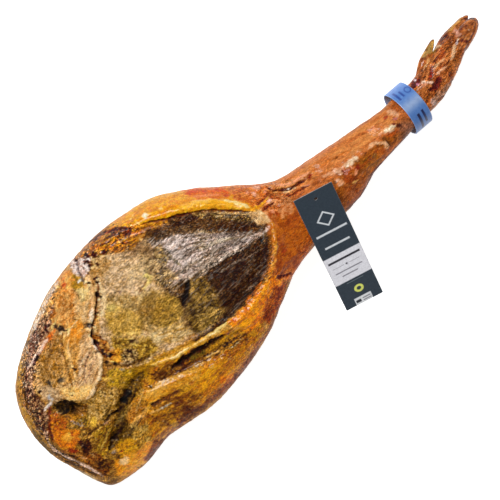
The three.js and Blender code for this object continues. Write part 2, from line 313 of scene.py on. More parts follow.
def from_line(places, line):
    """Each place's distance to a line, its share of the way along it, and its side, 1 left and -1 right."""
    lengths = np.hypot(*np.diff(line, axis=0).T)
    reached = np.concatenate([[0], np.cumsum(lengths)]) / lengths.sum()
    nearest = np.full(len(places), np.inf)
    share = np.zeros(len(places))
    side = np.ones(len(places))
    for i in range(len(line) - 1):
        step = line[i + 1] - line[i]
        offset = places - line[i]
        t = clamp01(offset @ step / max(step @ step, 1e-9))
        distance = np.hypot(*(offset - t[:, None] * step).T)
        closer = distance < nearest
        nearest[closer] = distance[closer]
        share[closer] = (reached[i] + t * (reached[i + 1] - reached[i]))[closer]
        side[closer] = np.where(step[0] * offset[:, 1] > step[1] * offset[:, 0], 1, -1)[closer]
    return nearest, share, side


def depth_inside(places, outline):
    """Distance of each place to a closed outline, above 0 inside it."""
    closed = np.array([*outline, outline[0]], float)
    distance, _, _ = from_line(places, closed)
    within = np.zeros(len(places), bool)
    for (u0, v0), (u1, v1) in zip(closed[:-1], closed[1:]):
        crosses = (v0 > places[:, 1]) != (v1 > places[:, 1])
        if v1 != v0:
            within ^= crosses & (places[:, 0] < u0 + (places[:, 1] - v0) * (u1 - u0) / (v1 - v0))
    return np.where(within, distance, -distance)


# Noise

def scatter(cells, seed):
    """An even random number from 0 to 1 for each whole-number cell."""
    mixed = cells[:, 0] * np.uint64(73856093) + cells[:, 1] * np.uint64(19349663)
    mixed = mixed + cells[:, 2] * np.uint64(83492791) + np.uint64(seed * 7919 + 17)
    low = np.uint64(0xFFFFFFFF)
    for shift, factor in ((15, 2246822519), (13, 3266489917)):
        mixed = mixed & low
        mixed = ((mixed ^ (mixed >> np.uint64(shift))) * np.uint64(factor)) & low
    return ((mixed ^ (mixed >> np.uint64(16))) & np.uint64(0xFFFF)) / 65535


def value_noise(spots, seed):
    """Smooth noise from 0 to 1 whose cells are one unit wide."""
    whole = np.floor(spots)
    part = smooth(spots - whole)
    cells = (whole + 100000).astype(np.uint64)
    total = np.zeros(len(spots))
    for corner in range(8):
        step = np.array([corner & 1, corner >> 1 & 1, corner >> 2], np.uint64)
        weight = np.prod(np.where(step > 0, part, 1 - part), axis=1)
        total += weight * scatter(cells + step, seed)
    return total


def noise(spots, seed, octaves=3):
    """Uneven noise, mostly from -1 to 1, whose largest cells are one unit wide."""
    turn = np.array([[0.8, 0.6, 0.0], [-0.6, 0.8, 0.0], [0.0, 0.0, 1.0]])
    total = np.zeros(len(spots))
    weight = 1.0
    for octave in range(octaves):
        total += weight * (2 * value_noise(spots, seed * 13 + octave) - 1)
        spots = spots @ turn * 2.03 + 7.3
        weight *= 0.7
    return total * 1.15


def blotches(size, seed, contrast=1.0):
    """A pattern of uneven patches of about `size` pixels, from 0 to 1."""
    return lambda spots: clamp01(0.5 + 0.5 * contrast * noise(spots / size, seed, 4))


def fibres(angle, length, width, seed, contrast=1.0):
    """A pattern of strands that run at `angle` degrees above the photograph's rightward axis."""
    turn = math.radians(angle)

    def pattern(spots):
        along = spots[:, 0] * math.cos(turn) - spots[:, 1] * math.sin(turn)
        across = spots[:, 0] * math.sin(turn) + spots[:, 1] * math.cos(turn)
        stretched = np.stack([along / length, across / width, spots[:, 2] / width], axis=1)
        return clamp01(0.5 + 0.5 * contrast * noise(stretched, seed))

    return pattern


def thin_lines(angle, length, width, seed):
    """Wrinkles along `angle` that part and meet: below 0 in their furrows, above 0 on the lip beside them."""
    turn = math.radians(angle)

    def pattern(spots):
        along = spots[:, 0] * math.cos(turn) - spots[:, 1] * math.sin(turn)
        across = spots[:, 0] * math.sin(turn) + spots[:, 1] * math.cos(turn)
        stretched = np.stack([along / length, across / width, spots[:, 2] / width], axis=1)
        level = noise(stretched, seed, 2)
        furrow = np.exp(-((level / 0.14) ** 2))
        lip = np.exp(-(((level - 0.27) / 0.13) ** 2))
        return 0.6 * lip - furrow

    return pattern


class Skin:
    """Surface points with their place in the photograph, and the colour, gloss, grit and relief on them."""

    def __init__(self, points, facing):
        self.place = photo_place(points)
        self.spots = np.column_stack([self.place, points[:, 2] / MM_PER_PIXEL])
        self.facing = facing
        self.uneven = self.place + self.shifts(1, *COARSE_EDGE) + self.shifts(3, *FINE_EDGE)
        self.thickness = noise(self.spots / 4, 5)
        self.wear = clamp01(0.5 + 0.8 * noise(self.spots / 2, 6))
        self.bundles = fibres(42, 26, 4.5, 9, 1.5)(self.spots)
        self.colour = np.zeros((len(points), 3))
        self.gloss = np.full(len(points), PLAIN_GLOSS)
        self.grit = np.full(len(points), PLAIN_GRIT)
        self.strand = np.full(len(points), PLAIN_STRAND)
        self.height = np.zeros(len(points))

    def shifts(self, seed, cell, size):
        """Uneven shifts across and down, in pixels."""
        spots = self.spots / cell
        return size * np.stack([noise(spots, seed), noise(spots, seed + 1)], axis=1)

    def near(self, marks, reach):
        marks = np.asarray(marks, float)
        low, high = marks.min(axis=0) - reach, marks.max(axis=0) + reach
        inside = ((self.place >= low) & (self.place <= high)).all(axis=1)
        return np.flatnonzero(inside & (self.facing > 0))

    def lay(self, chosen, mask, colour, blend, grain, gloss, rise):
        mask = mask * self.facing[chosen]
        if colour is not None:
            tint = np.tile(np.asarray(colour, float), (len(chosen), 1))
            if blend is not None:
                tint += grain(self.spots[chosen])[:, None] * (np.asarray(blend, float) - tint)
            self.colour[chosen] += mask[:, None] * (tint - self.colour[chosen])
        if gloss is not None:
            self.gloss[chosen] += mask * (gloss - self.gloss[chosen])
        self.height[chosen] += rise * mask

    def field(self, outline, colour, blend=None, grain=None, soft=3, strength=1, gloss=None, rise=0):
        """Colours a region whose edge fades over `soft` pixels."""
        chosen = self.near(outline, soft + 4)
        depth = depth_inside(self.uneven[chosen], outline)
        self.lay(chosen, strength * smooth(0.5 + depth / soft), colour, blend, grain, gloss, rise)

    def texture(self, outline, grit, gloss=None, strand=None, soft=8):
        """Sets how gritty, how wet and how stringy a region is."""
        chosen = self.near(outline, soft + 4)
        mask = smooth(0.5 + depth_inside(self.uneven[chosen], outline) / soft) * self.facing[chosen]
        self.grit[chosen] += mask * (grit - self.grit[chosen])
        if gloss is not None:
            self.gloss[chosen] += mask * (gloss - self.gloss[chosen])
        if strand is not None:
            target = strand * (0.3 + self.bundles[chosen])
            self.strand[chosen] += mask * (target - self.strand[chosen])

    def stroke(self, points, width, colour=None, blend=None, grain=None, soft=None, strength=1,
               taper=0.15, gloss=None, rise=0, wander=0.4, broken=0.35):
        """Lays a band along a curve, `width` pixels to each side, that thins out over `taper` of its ends."""
        line = smooth_line(points, max(8, 5 * len(points)))
        soft = width if soft is None else soft
        chosen = self.near(line, 1.4 * width + soft + 4)
        places = self.place[chosen] + wander * (self.uneven[chosen] - self.place[chosen])
        distance, share, _ = from_line(places, line)
        thin = np.sqrt(clamp01(np.minimum(share, 1 - share) / taper)) if taper else 1.0
        thin = thin * (1 + STROKE_UNEVENNESS * np.clip(self.thickness[chosen], -1.5, 1.5))
        mask = strength * (1 - smooth((distance - width * thin + soft / 2) / soft))
        self.lay(chosen, mask * (1 - broken * self.wear[chosen]), colour, blend, grain, gloss, rise)
        # A deep furrow gets a painted highlight on its lip
        if rise <= FURROW_RISE:
            self.lip(chosen, (distance - width * thin - FURROW_LIP[0]) / FURROW_LIP[1], strength)

    def lip(self, chosen, away, strength):
        """Paints a highlight on the edge beside a furrow or round a pit. `away` is 0 on that edge."""
        pale = np.minimum(self.colour[chosen] * LIP_GAIN + LIP_LIFT, 255)
        mask = LIP_HIGHLIGHTS * strength * np.exp(-(away**2)) * self.wear[chosen] * self.facing[chosen]
        self.colour[chosen] += mask[:, None] * (pale - self.colour[chosen])

    def spot(self, centre, radii, colour=None, turn=0, soft=0.8, strength=1, gloss=None, rise=0,
             blend=None, grain=None):
        """Lays an oval whose first radius points `turn` degrees above the rightward axis."""
        radii = (radii, radii) if np.isscalar(radii) else radii
        angle = math.radians(turn)
        chosen = self.near([centre], max(radii) * (1 + soft) + 3)
        offset = self.uneven[chosen] - np.asarray(centre, float)
        along = offset[:, 0] * math.cos(angle) - offset[:, 1] * math.sin(angle)
        across = offset[:, 0] * math.sin(angle) + offset[:, 1] * math.cos(angle)
        reach = np.hypot(along / radii[0], across / radii[1])
        mask = strength * (1 - smooth((reach - 1 + soft / 2) / soft))
        self.lay(chosen, mask, colour, blend, grain, gloss, rise)
        # A pit gets a painted highlight round its rim
        if rise < 0:
            self.lip(chosen, (reach - PIT_LIP[0]) / PIT_LIP[1], PIT_LIP_STRENGTH)

    def roughen(self, share=1.0):
        """Breaks the colours and the surface up with grain, as strong as the grit and the share, and paints
        small glints where the surface is glossy.
        """
        brightness = self.colour.max(axis=1)
        self.grit *= DARK_GRIT - BRIGHT_LOSS * smooth((brightness - BRIGHT_START) / BRIGHT_RANGE)
        fine = 2 * fibres(HAM_ANGLE, 3.2, 1.2, 7)(self.spots) - 1
        middle = 2 * fibres(HAM_ANGLE, 8, 3.5, 8)(self.spots) - 1
        wrinkle = thin_lines(HAM_ANGLE, 13, 4, 17)(self.spots)
        fine, middle, wrinkle = share * fine, share * middle, share * wrinkle
        grain = GRAIN_FINE * fine + GRAIN_MIDDLE * middle + WRINKLES * wrinkle
        shade = GRAIN_LIGHTENING + self.grit * grain + SMOOTH_WRINKLES * WRINKLES * wrinkle
        self.colour *= np.maximum(shade, DARKEST_GRAIN)[:, None]
        # Painted glints: small highlights scattered where the surface is gritty and glossy
        painted_glints = clamp01(3.5 * (noise(self.spots / 1.5, 15, 2) - 0.75))
        painted_glints = painted_glints * clamp01(noise(self.spots / 9, 16) + 0.6) * share
        amount = GLINTS * painted_glints * self.grit * clamp01(1.6 * self.gloss) * self.facing
        self.colour += amount[:, None] * (GLINT_COLOUR - self.colour)
        self.colour *= np.minimum(1, BRIGHTEST / np.maximum(self.colour.max(axis=1), 1))[:, None]
        relief = self.grit * (FINE_RELIEF * fine + MIDDLE_RELIEF * middle)
        self.height += relief + WRINKLE_RELIEF * (SMOOTH_WRINKLES + self.grit) * wrinkle


# Paint, region by region. Colours are the usual 0 to 255 red, green and blue.

def paint_rind(skin, under):
    """The tanned skin of the sides and the underside."""
    gold = np.array([196.0, 138.0, 62.0])
    brown = np.array([132.0, 82.0, 34.0])
    pale = np.array([214.0, 170.0, 104.0])
    wrinkle_shade = np.array([34.0, 30.0, 20.0])
    shade = blotches(16, 11)(skin.spots)[:, None]
    flecks = blotches(3, 12)(skin.spots)[:, None]
    skin.colour[:] = gold + shade * (brown - gold) * 0.7 + flecks * (pale - gold) * 0.3
    wrinkles = fibres(HAM_ANGLE, 26, 5, 13)(skin.spots)[:, None]
    skin.colour += under[:, None] * (wrinkles - 0.5) * wrinkle_shade
    skin.height += (blotches(9, 14)(skin.spots) - 0.5) * 0.8


# Where the tag's hole shows the leg under it: a dark spot of painted shadow from the tag
TAG_HOLE_PLACE = (314, 197.5)


def paint_leg(skin):
    """The shank and its neck."""
    shank = [
        (262, 186), (300, 162), (338, 138), (384, 108), (420, 60), (465, 10), (482, 14), (474, 40),
        (452, 90), (428, 114), (395, 150), (372, 172), (366, 192), (345, 212), (312, 248), (292, 280),
        (270, 284), (262, 240),
    ]
    skin.field(shank, (204, 118, 64), (160, 84, 44), blotches(6, 21, 1.3), soft=5, gloss=0.55)
    # Painted light and shade: the upper side is painted lighter and the lower side darker, as light falls
    # from the upper left, over the skin's own mottling
    lit_upper_side = [
        (258, 190), (300, 160), (338, 137), (386, 107), (400, 122), (380, 140), (340, 164), (300, 184),
        (272, 200),
    ]
    skin.field(lit_upper_side, (222, 144, 80), (194, 108, 58), fibres(30, 20, 3, 22), soft=8, gloss=0.5)
    shaded_lower_side = [
        (345, 212), (372, 186), (378, 165), (408, 132), (398, 128), (362, 156), (330, 182), (334, 205),
    ]
    skin.field(shaded_lower_side, (188, 106, 52), (126, 70, 28), blotches(5, 23, 1.3), soft=6)
    neck = [(278, 200), (292, 196), (314, 240), (292, 276), (276, 276), (276, 240)]
    skin.field(neck, (188, 102, 42), (146, 68, 22), blotches(7, 24), soft=4, gloss=0.5)
    neck_top = [(268, 192), (284, 196), (296, 200), (292, 214), (278, 218), (264, 214), (256, 206)]
    skin.field(neck_top, (212, 140, 90), (160, 74, 28), blotches(3, 26, 1.4), soft=4, gloss=0.7)
    olive_patch = [(362, 156), (378, 154), (382, 164), (370, 170), (358, 166)]
    skin.field(olive_patch, (134, 84, 24), (178, 100, 44), blotches(3, 27), soft=4)
    shaded_patch = [(344, 178), (362, 174), (370, 184), (360, 198), (344, 208)]
    skin.field(shaded_patch, (172, 98, 54), (126, 60, 28), blotches(4, 28, 1.3), soft=4)


def paint_leg_marks(skin):
    """The leg's red marks, raised ridges of fat painted with highlights, spots, and edges darkened with
    painted shade.
    """
    bruises = (
        ([(352, 164), (347, 173), (350, 183)], 4, (170, 76, 28)),
        ([(374, 152), (384, 150), (392, 146)], 2.6, (172, 82, 36)),
        ([(386, 135), (393, 133), (399, 130)], 2.6, (188, 84, 44)),
        ([(383, 138), (388, 142), (392, 146)], 2.4, (122, 70, 20)),
        ([(360, 168), (366, 163), (374, 158)], 1.6, (164, 78, 34)),
        ([(320, 166), (336, 157), (352, 149)], 1, (196, 104, 44)),
        ([(300, 178), (320, 168), (330, 160)], 1, (210, 116, 58)),
        ([(342, 164), (352, 158), (366, 146), (378, 138)], 1, (200, 114, 60)),
    )
    for line, width, colour in bruises:
        skin.stroke(line, width, colour, strength=0.8)
    # Raised ridges of fat, painted pale as highlights
    highlit_fat_ridges = (
        ([(322, 176), (330, 174), (338, 170), (346, 166)], 1.8, (230, 168, 126), 0.8),
        ([(346, 168), (350, 163), (357, 157)], 3, (252, 224, 188), 1.2),
        ([(331, 168), (338, 172), (343, 175)], 1.4, (230, 176, 140), 0.6),
        ([(335, 179), (341, 182), (338, 186)], 2, (228, 170, 132), 0.8),
        ([(350, 153), (356, 151), (362, 150)], 1.4, (210, 140, 84), 0.6),
        ([(368, 149), (374, 144), (384, 143), (388, 149)], 1.8, (238, 184, 140), 0.8),
        ([(384, 131), (391, 128), (396, 125)], 2.4, (255, 236, 200), 1),
        ([(386, 112), (394, 113), (399, 117)], 2, (240, 182, 140), 0.6),
        ([(351, 184), (358, 180)], 1, (222, 170, 100), 0.4),
        ([(349, 166), (356, 170), (354, 176)], 1, (230, 150, 110), 0.4),
    )
    for line, width, colour, rise in highlit_fat_ridges:
        skin.stroke(line, width, colour, rise=rise, gloss=0.9)
    leg_spots = (
        ((400, 125.5), (2.6, 1.8), 0, (66, 22, 12)), ((387, 118), (2, 1.6), 0, (150, 60, 44)),
        ((395, 123), (1.4, 1.2), 0, (110, 40, 40)), ((336, 158), (2.2, 1), 20, (150, 78, 28)),
        ((343, 171.5), (1.6, 1), 0, (96, 40, 16)), ((357, 168), (3, 2), 30, (134, 44, 22)),
        ((370, 156), (2, 1.4), 40, (120, 56, 28)), ((383, 156), (2, 1.2), 40, (120, 50, 24)),
        ((352, 194), (5, 3.4), 40, (172, 100, 64)), ((389, 145), (2, 2), 0, (84, 52, 22)),
        ((395, 118), (2.4, 2), 0, (186, 110, 110)), ((284, 250), (3, 2), 50, (150, 60, 26)),
        ((283, 255), (2, 1), 30, (120, 50, 24)), ((300, 236), (6, 4), 50, (170, 88, 38)),
    )
    for centre, radii, turn, colour in leg_spots:
        skin.spot(centre, radii, colour, turn, strength=0.85)
    # Painted shadow of the tag, seen through its hole
    skin.spot(TAG_HOLE_PLACE, (5, 5), (44, 34, 30), gloss=0)
    # Painted shade along both edges of the leg
    lower_edge = [(345, 212), (360, 198), (370, 182), (374, 172), (392, 153), (408, 134)]
    skin.stroke(lower_edge, 1.6, (88, 42, 16), soft=2)
    shaded_upper_edge = [(268, 185), (300, 165), (338, 139), (370, 120)]
    skin.stroke(shaded_upper_edge, 0.8, (142, 76, 32), strength=0.7)


def paint_neck_folds(skin):
    """The folds where the shank meets the ham."""
    # Painted shade in the deepest fold
    deep_fold = [(266, 187), (276, 190), (285, 189), (292, 187), (300, 183), (306, 180)]
    skin.stroke(deep_fold, 1.5, (66, 24, 8), rise=-2.4, gloss=0.6)
    pale_fold = [(272, 184), (285, 185), (298, 180), (305, 175), (310, 171)]
    skin.stroke(pale_fold, 1.8, (234, 158, 118), rise=1, gloss=0.8)
    fold_end = (309, 177)
    skin.spot(fold_end, (3.2, 2), (126, 36, 14), 50, rise=-1)
    second_fold = [(284, 195), (291, 195), (300, 190), (309, 185)]
    skin.stroke(second_fold, 1.1, (116, 48, 20), rise=-1)
    short_fold = [(256, 206), (262, 200), (269, 193)]
    skin.stroke(short_fold, 1.2, (112, 50, 20), rise=-1.2)
    lower_fold = [(262, 212), (268, 206), (274, 203)]
    skin.stroke(lower_fold, 1.2, (128, 54, 22), rise=-1)
    side_crease = [(276, 278), (284, 276), (293, 273)]
    skin.stroke(side_crease, 1.3, (78, 28, 16), rise=-1.6)
    glints = (
        ((288, 187), (1.4, 0.8), 20, (255, 240, 225)), ((286, 191.5), (4, 2), 10, (228, 184, 134)),
        ((294, 188.6), (3, 1.6), 20, (236, 196, 150)), ((269, 201), (2.4, 1.8), 60, (240, 190, 170)),
        ((279, 204), (2, 1.4), 60, (234, 180, 160)), ((283, 214), (1.2, 5), 0, (226, 150, 96)),
        ((273, 211), (2, 1.4), 20, (230, 150, 110)), ((256, 188), (3.4, 1.6), 10, (240, 170, 136)),
        ((254, 194), (1.4, 3), 20, (238, 168, 136)), ((247, 193), (1.2, 2.6), 20, (230, 150, 110)),
        ((266, 192), (2.2, 1.4), 30, (232, 150, 116)),
    )
    for centre, radii, turn, colour in glints:
        skin.spot(centre, radii, colour, turn, rise=0.4, gloss=0.9)


def paint_trotter(skin):
    """The foot above the band: tendon ridges painted with highlights, bruises, grooves, painted shade along
    its right edge, and the roots of the claws.
    """
    foot = [
        (408, 84), (420, 58), (440, 34), (462, 12), (482, 14), (474, 42), (456, 84), (440, 104), (430, 112),
    ]
    skin.field(foot, (188, 112, 62), (142, 76, 42), fibres(60, 9, 3, 31, 1.4), soft=3, gloss=0.6)
    heel = [(436, 92), (452, 80), (454, 88), (440, 104), (430, 110)]
    skin.field(heel, (178, 132, 108), (140, 84, 50), blotches(3, 32), soft=3)
    creases = (
        ([(411, 87), (415, 83), (420, 80)], 2.4, (84, 24, 18)),
        ([(428, 80), (431, 74), (432, 66)], 2.2, (136, 48, 22)),
        ([(433, 89), (438, 82), (440, 76)], 2.8, (84, 26, 12)),
        ([(428, 90), (434, 89), (440, 87)], 1.8, (80, 24, 16)),
        ([(433, 63), (437, 58), (440, 55)], 1.4, (96, 44, 16)),
        ([(440, 40), (443, 38), (448, 35)], 1.7, (58, 16, 8)),
        ([(440, 36), (447, 29), (453, 24), (458, 21)], 1.1, (86, 36, 14)),
        ([(464, 19), (469, 18.4), (475, 17)], 1.2, (66, 20, 8)),
        ([(466, 25), (466, 29)], 0.8, (84, 28, 12)),
        ([(441, 48), (443, 56), (440, 62)], 2.4, (176, 84, 44)),
        ([(449, 72), (452, 78), (450, 84)], 1.6, (112, 56, 24)),
        ([(460, 40), (466, 42), (470, 40)], 1.2, (110, 50, 26)),
        ([(440, 68), (446, 64), (450, 60)], 1, (130, 60, 26)),
        # Painted shade along the foot's right edge
        ([(476, 20), (474, 32), (468, 45), (463, 60), (456, 76), (448, 92), (438, 101), (431, 108)],
         0.9, (110, 62, 34)),
    )
    for line, width, colour in creases:
        skin.stroke(line, width, colour, rise=-0.8, gloss=0.8)
    # Raised tendon ridges; most of their pale colours are painted highlights
    highlit_tendons = (
        ([(434, 68), (439, 63), (445, 58)], 1.3, (250, 196, 146)),
        ([(437, 75), (441, 70), (447, 66)], 1.3, (246, 188, 150)),
        ([(451, 60), (453, 53), (454, 45)], 1.5, (248, 202, 158)),
        ([(424, 68), (427, 63), (430, 58)], 1.1, (240, 176, 110)),
        ([(448, 33), (452, 28), (457, 23), (462, 17)], 1.4, (216, 160, 84)),
        ([(454, 29), (457, 33), (460, 36)], 2, (234, 170, 148)),
        ([(421, 83), (425, 82), (429, 83), (434, 82)], 1.1, (255, 226, 204)),
        ([(418, 88), (423, 86), (428, 84)], 1, (238, 160, 120)),
        ([(414, 81), (416, 80)], 1.2, (250, 220, 220)),
        ([(416, 84), (419, 85)], 1.2, (214, 140, 170)),
        ([(413, 74), (417, 66), (420, 60)], 1, (226, 176, 130)),
        ([(433, 47), (438, 46), (441, 47)], 1.2, (240, 190, 130)),
        ([(457, 40), (459, 40)], 1, (250, 210, 170)),
        ([(431, 100), (436, 104)], 2.2, (200, 170, 160)),
    )
    for line, width, colour in highlit_tendons:
        skin.stroke(line, width, colour, rise=0.7, gloss=0.9)
    dewclaw_root = [(420, 56), (428, 46), (434, 38), (437, 44), (434, 52), (426, 58)]
    skin.field(dewclaw_root, (204, 164, 98), (180, 128, 62), blotches(3, 33), soft=2)


def paint_hip(skin):
    """The pale outer plate at the left, between the rim and the crack."""
    plate = [
        (54, 278), (72, 258), (92, 256), (100, 282), (97, 320), (98, 350), (101, 372), (88, 400), (66, 406),
        (46, 404), (34, 384), (34, 350), (44, 312),
    ]
    skin.field(plate, (222, 178, 122), (160, 110, 56), blotches(3.2, 41, 1.4), soft=4, gloss=0.35)
    upper_plate = [(50, 294), (58, 276), (74, 290), (76, 318), (68, 330), (50, 332), (48, 312)]
    skin.field(upper_plate, (220, 164, 92), (176, 104, 42), blotches(2.8, 42, 1.4), soft=5)
    brown_hollow = [(40, 340), (58, 334), (66, 346), (64, 380), (50, 392), (38, 378)]
    skin.field(brown_hollow, (146, 96, 34), (188, 142, 84), blotches(2.6, 43, 1.4), soft=5)
    cream_patch = [(74, 298), (90, 300), (90, 322), (78, 326)]
    skin.field(cream_patch, (222, 186, 136), (204, 154, 90), blotches(2.6, 44, 1.3), soft=5)
    lower_plate = [(60, 338), (78, 332), (82, 352), (76, 380), (64, 384)]
    skin.field(lower_plate, (210, 156, 82), (170, 110, 46), fibres(76, 10, 2, 45, 1.3), soft=5)
    orange_patch = [(66, 334), (72, 322), (82, 318), (86, 330), (78, 344), (68, 346)]
    skin.field(orange_patch, (226, 164, 78), (212, 126, 38), blotches(3, 46, 1.3), soft=4)
    lip_side = [(84, 332), (92, 340), (101, 356), (101, 378), (93, 394), (84, 402), (76, 396), (78, 360)]
    skin.field(lip_side, (222, 182, 132), (186, 134, 80), fibres(62, 9, 1.3, 47, 1.5), soft=5)
    lower_lip = [(60, 388), (82, 386), (94, 384), (92, 396), (84, 404), (66, 403)]
    skin.field(lower_lip, (244, 202, 128), (218, 160, 80), blotches(2.4, 48, 1.4), soft=4)
    tan_corner = [(40, 388), (50, 384), (60, 394), (54, 404), (44, 402)]
    skin.field(tan_corner, (222, 190, 144), (166, 126, 84), blotches(2.4, 49, 1.4), soft=3)
    pale_patch = [(76, 286), (88, 286), (91, 298), (80, 301)]
    skin.field(pale_patch, (216, 190, 132), (200, 164, 92), blotches(3, 50), soft=4)
    white_corner = [(68, 264), (80, 252), (90, 254), (90, 272), (84, 278), (74, 274)]
    skin.field(white_corner, (238, 216, 204), (158, 122, 104), blotches(2, 51, 1.6), soft=3, gloss=0.6)
    olive_corner = [(69, 273), (80, 276), (84, 286), (76, 290), (68, 284)]
    skin.field(olive_corner, (142, 98, 18), (178, 132, 50), blotches(2.4, 52), soft=3)
    outer_corner = [(52, 288), (60, 272), (70, 271), (74, 280), (66, 292), (56, 298)]
    skin.field(outer_corner, (228, 168, 86), (208, 122, 50), blotches(3, 53, 1.3), soft=3, gloss=0.6)


def paint_hip_lines(skin):
    """The hip plate's ridges, furrows, lip and spots, and a painted glint."""
    orange_ridge = [(55, 330), (47, 340), (40, 350), (36, 358)]
    skin.stroke(orange_ridge, 2.4, (208, 100, 36), rise=0.8, gloss=0.7)
    brown_furrow = [(59, 332), (52, 342), (45, 352)]
    skin.stroke(brown_furrow, 1.2, (150, 96, 46))
    cream_line = [(66, 337), (71, 329), (78, 320)]
    skin.stroke(cream_line, 0.8, (238, 204, 146), rise=0.8)
    long_furrow = [(63, 333), (62, 345), (64, 358), (69, 374), (73, 388)]
    skin.stroke(long_furrow, 1.2, (116, 70, 26), rise=-0.9, broken=0.5)
    faint_furrow = [(58, 344), (57, 356), (60, 370)]
    skin.stroke(faint_furrow, 1, (134, 88, 40), strength=0.7)
    pale_ridge = [(70, 338), (68, 350), (72, 366), (77, 382)]
    skin.stroke(pale_ridge, 1.1, (238, 196, 134), rise=0.5, broken=0.5)
    grey_furrow = [(91, 352), (86, 362), (84, 374), (86, 384)]
    skin.stroke(grey_furrow, 1, (140, 100, 78), rise=-0.5, strength=0.8)
    second_grey_furrow = [(96, 356), (91, 366), (88, 378)]
    skin.stroke(second_grey_furrow, 1, (146, 104, 80), strength=0.8)
    pale_streak = [(88, 353), (81, 364), (80, 378)]
    skin.stroke(pale_streak, 1.2, (232, 196, 156), strength=0.8)
    plate_lip = [(94, 347), (99, 355), (101, 367), (98, 381), (92, 393), (84, 402)]
    skin.stroke(plate_lip, 1.6, (250, 216, 168), rise=1.5, broken=0.45)
    corner_crease = [(76, 257), (77, 265), (80, 275), (84, 284)]
    skin.stroke(corner_crease, 1, (96, 78, 78), rise=-0.8)
    small_spots = (
        ((63, 286), (3, 2.4), 60, (190, 82, 34)), ((57, 281), (2, 4), 20, (232, 150, 90)),
        ((61, 329), (5, 2.8), 0, (44, 32, 26)), ((55, 327), (2.6, 1.8), 0, (60, 40, 30)),
        ((66, 331), (2, 1.2), 0, (60, 44, 36)), ((89, 325), (2.6, 2.2), 0, (62, 50, 42)),
        ((61, 380), (3.4, 3), 0, (92, 78, 64)), ((48, 382), (3, 2.6), 0, (56, 46, 40)),
        ((51, 386), (1.6, 1.4), 0, (70, 50, 40)), ((73, 370), (1.6, 1.4), 0, (56, 36, 22)),
        ((41, 392), (2, 1.6), 0, (50, 30, 24)), ((75, 320), (3, 1), 20, (92, 54, 24)),
        ((79, 361), (2, 1.2), 0, (140, 96, 70)), ((72, 394), (1.2, 1), 0, (110, 66, 40)),
        ((53, 313), (2.4, 6), 15, (146, 84, 40)), ((48, 322), (3, 4), 30, (120, 66, 40)),
    )
    for centre, radii, turn, colour in small_spots:
        skin.spot(centre, radii, colour, turn, rise=-0.4)
    # A painted glint
    hip_glint = (79.5, 281)
    skin.spot(hip_glint, (1.2, 2.4), (252, 244, 226), -20)


def paint_crack(skin):
    """The long split between the hip plate and the meat, dark with painted shade, and its pale lips."""
    right_lip = [(101, 285), (104, 294), (105, 305), (101, 318)]
    skin.stroke(right_lip, 2, (236, 204, 152), rise=0.8)
    left_lip = [(93, 286), (92, 298), (92, 310), (91, 320)]
    skin.stroke(left_lip, 2, (228, 176, 116), rise=0.8)
    middle_lip = [(92, 308), (91, 316), (92, 322)]
    skin.stroke(middle_lip, 2, (236, 208, 174), rise=0.5)
    lower_lip = [(92, 338), (94, 346), (99, 353)]
    skin.stroke(lower_lip, 1.4, (240, 208, 180), rise=0.5)
    crumbled_end = [(94, 334), (100, 336), (108, 343), (114, 356), (106, 360), (98, 352)]
    skin.field(crumbled_end, (66, 28, 8), (206, 138, 64), blotches(1.8, 61, 1.8), soft=2, gloss=0.6,
               rise=-0.6)
    # The split's dark line is painted shade in it
    split = [(98, 282), (98, 296), (97, 308), (97, 315), (94, 324), (93, 334), (96, 343), (101, 352)]
    skin.stroke(split, 1.2, (94, 42, 14), soft=1.2, rise=-2.4)
    fat_crumbs = (
        ((107, 346), (2.2, 1.8), (230, 170, 90)), ((117, 358), (3.4, 2.4), (236, 164, 56)),
        ((112, 350), (3, 2), (214, 140, 60)), ((103, 343), (1.6, 1.4), (206, 120, 60)),
    )
    for centre, radii, colour in fat_crumbs:
        skin.spot(centre, radii, colour, soft=1)
    # Dark pits along the split, painted as shade in them
    pits = (
        ((96, 345), (2.6, 2)), ((104, 353), (2.6, 1.6)),
        ((110, 356), (2.6, 1.5)), ((115, 363), (3.2, 1.4)),
        ((124, 357), (2.6, 1.6)), ((129, 353), (2.8, 1.7)),
        ((133, 341), (3.4, 2)), ((107, 361), (2.4, 1.4)),
        ((97.5, 282), (2, 1.7)), ((97, 295), (2.4, 3.2)),
        ((100.5, 297), (2, 1.6)), ((97.5, 304), (1, 3.6)),
        ((97.5, 314), (2.7, 2.3)), ((93.5, 324), (1.7, 3)),
        ((93, 333), (2, 4)), ((98, 352), (2.6, 1.6)),
        ((95, 343), (2, 2.6)), ((103, 350), (2, 1.6)),
        ((88, 284), (1.6, 1.6)),
    )
    pit_shade = (34, 16, 10)
    for centre, radii in pits:
        skin.spot(centre, radii, pit_shade, soft=0.6, rise=-1.2)


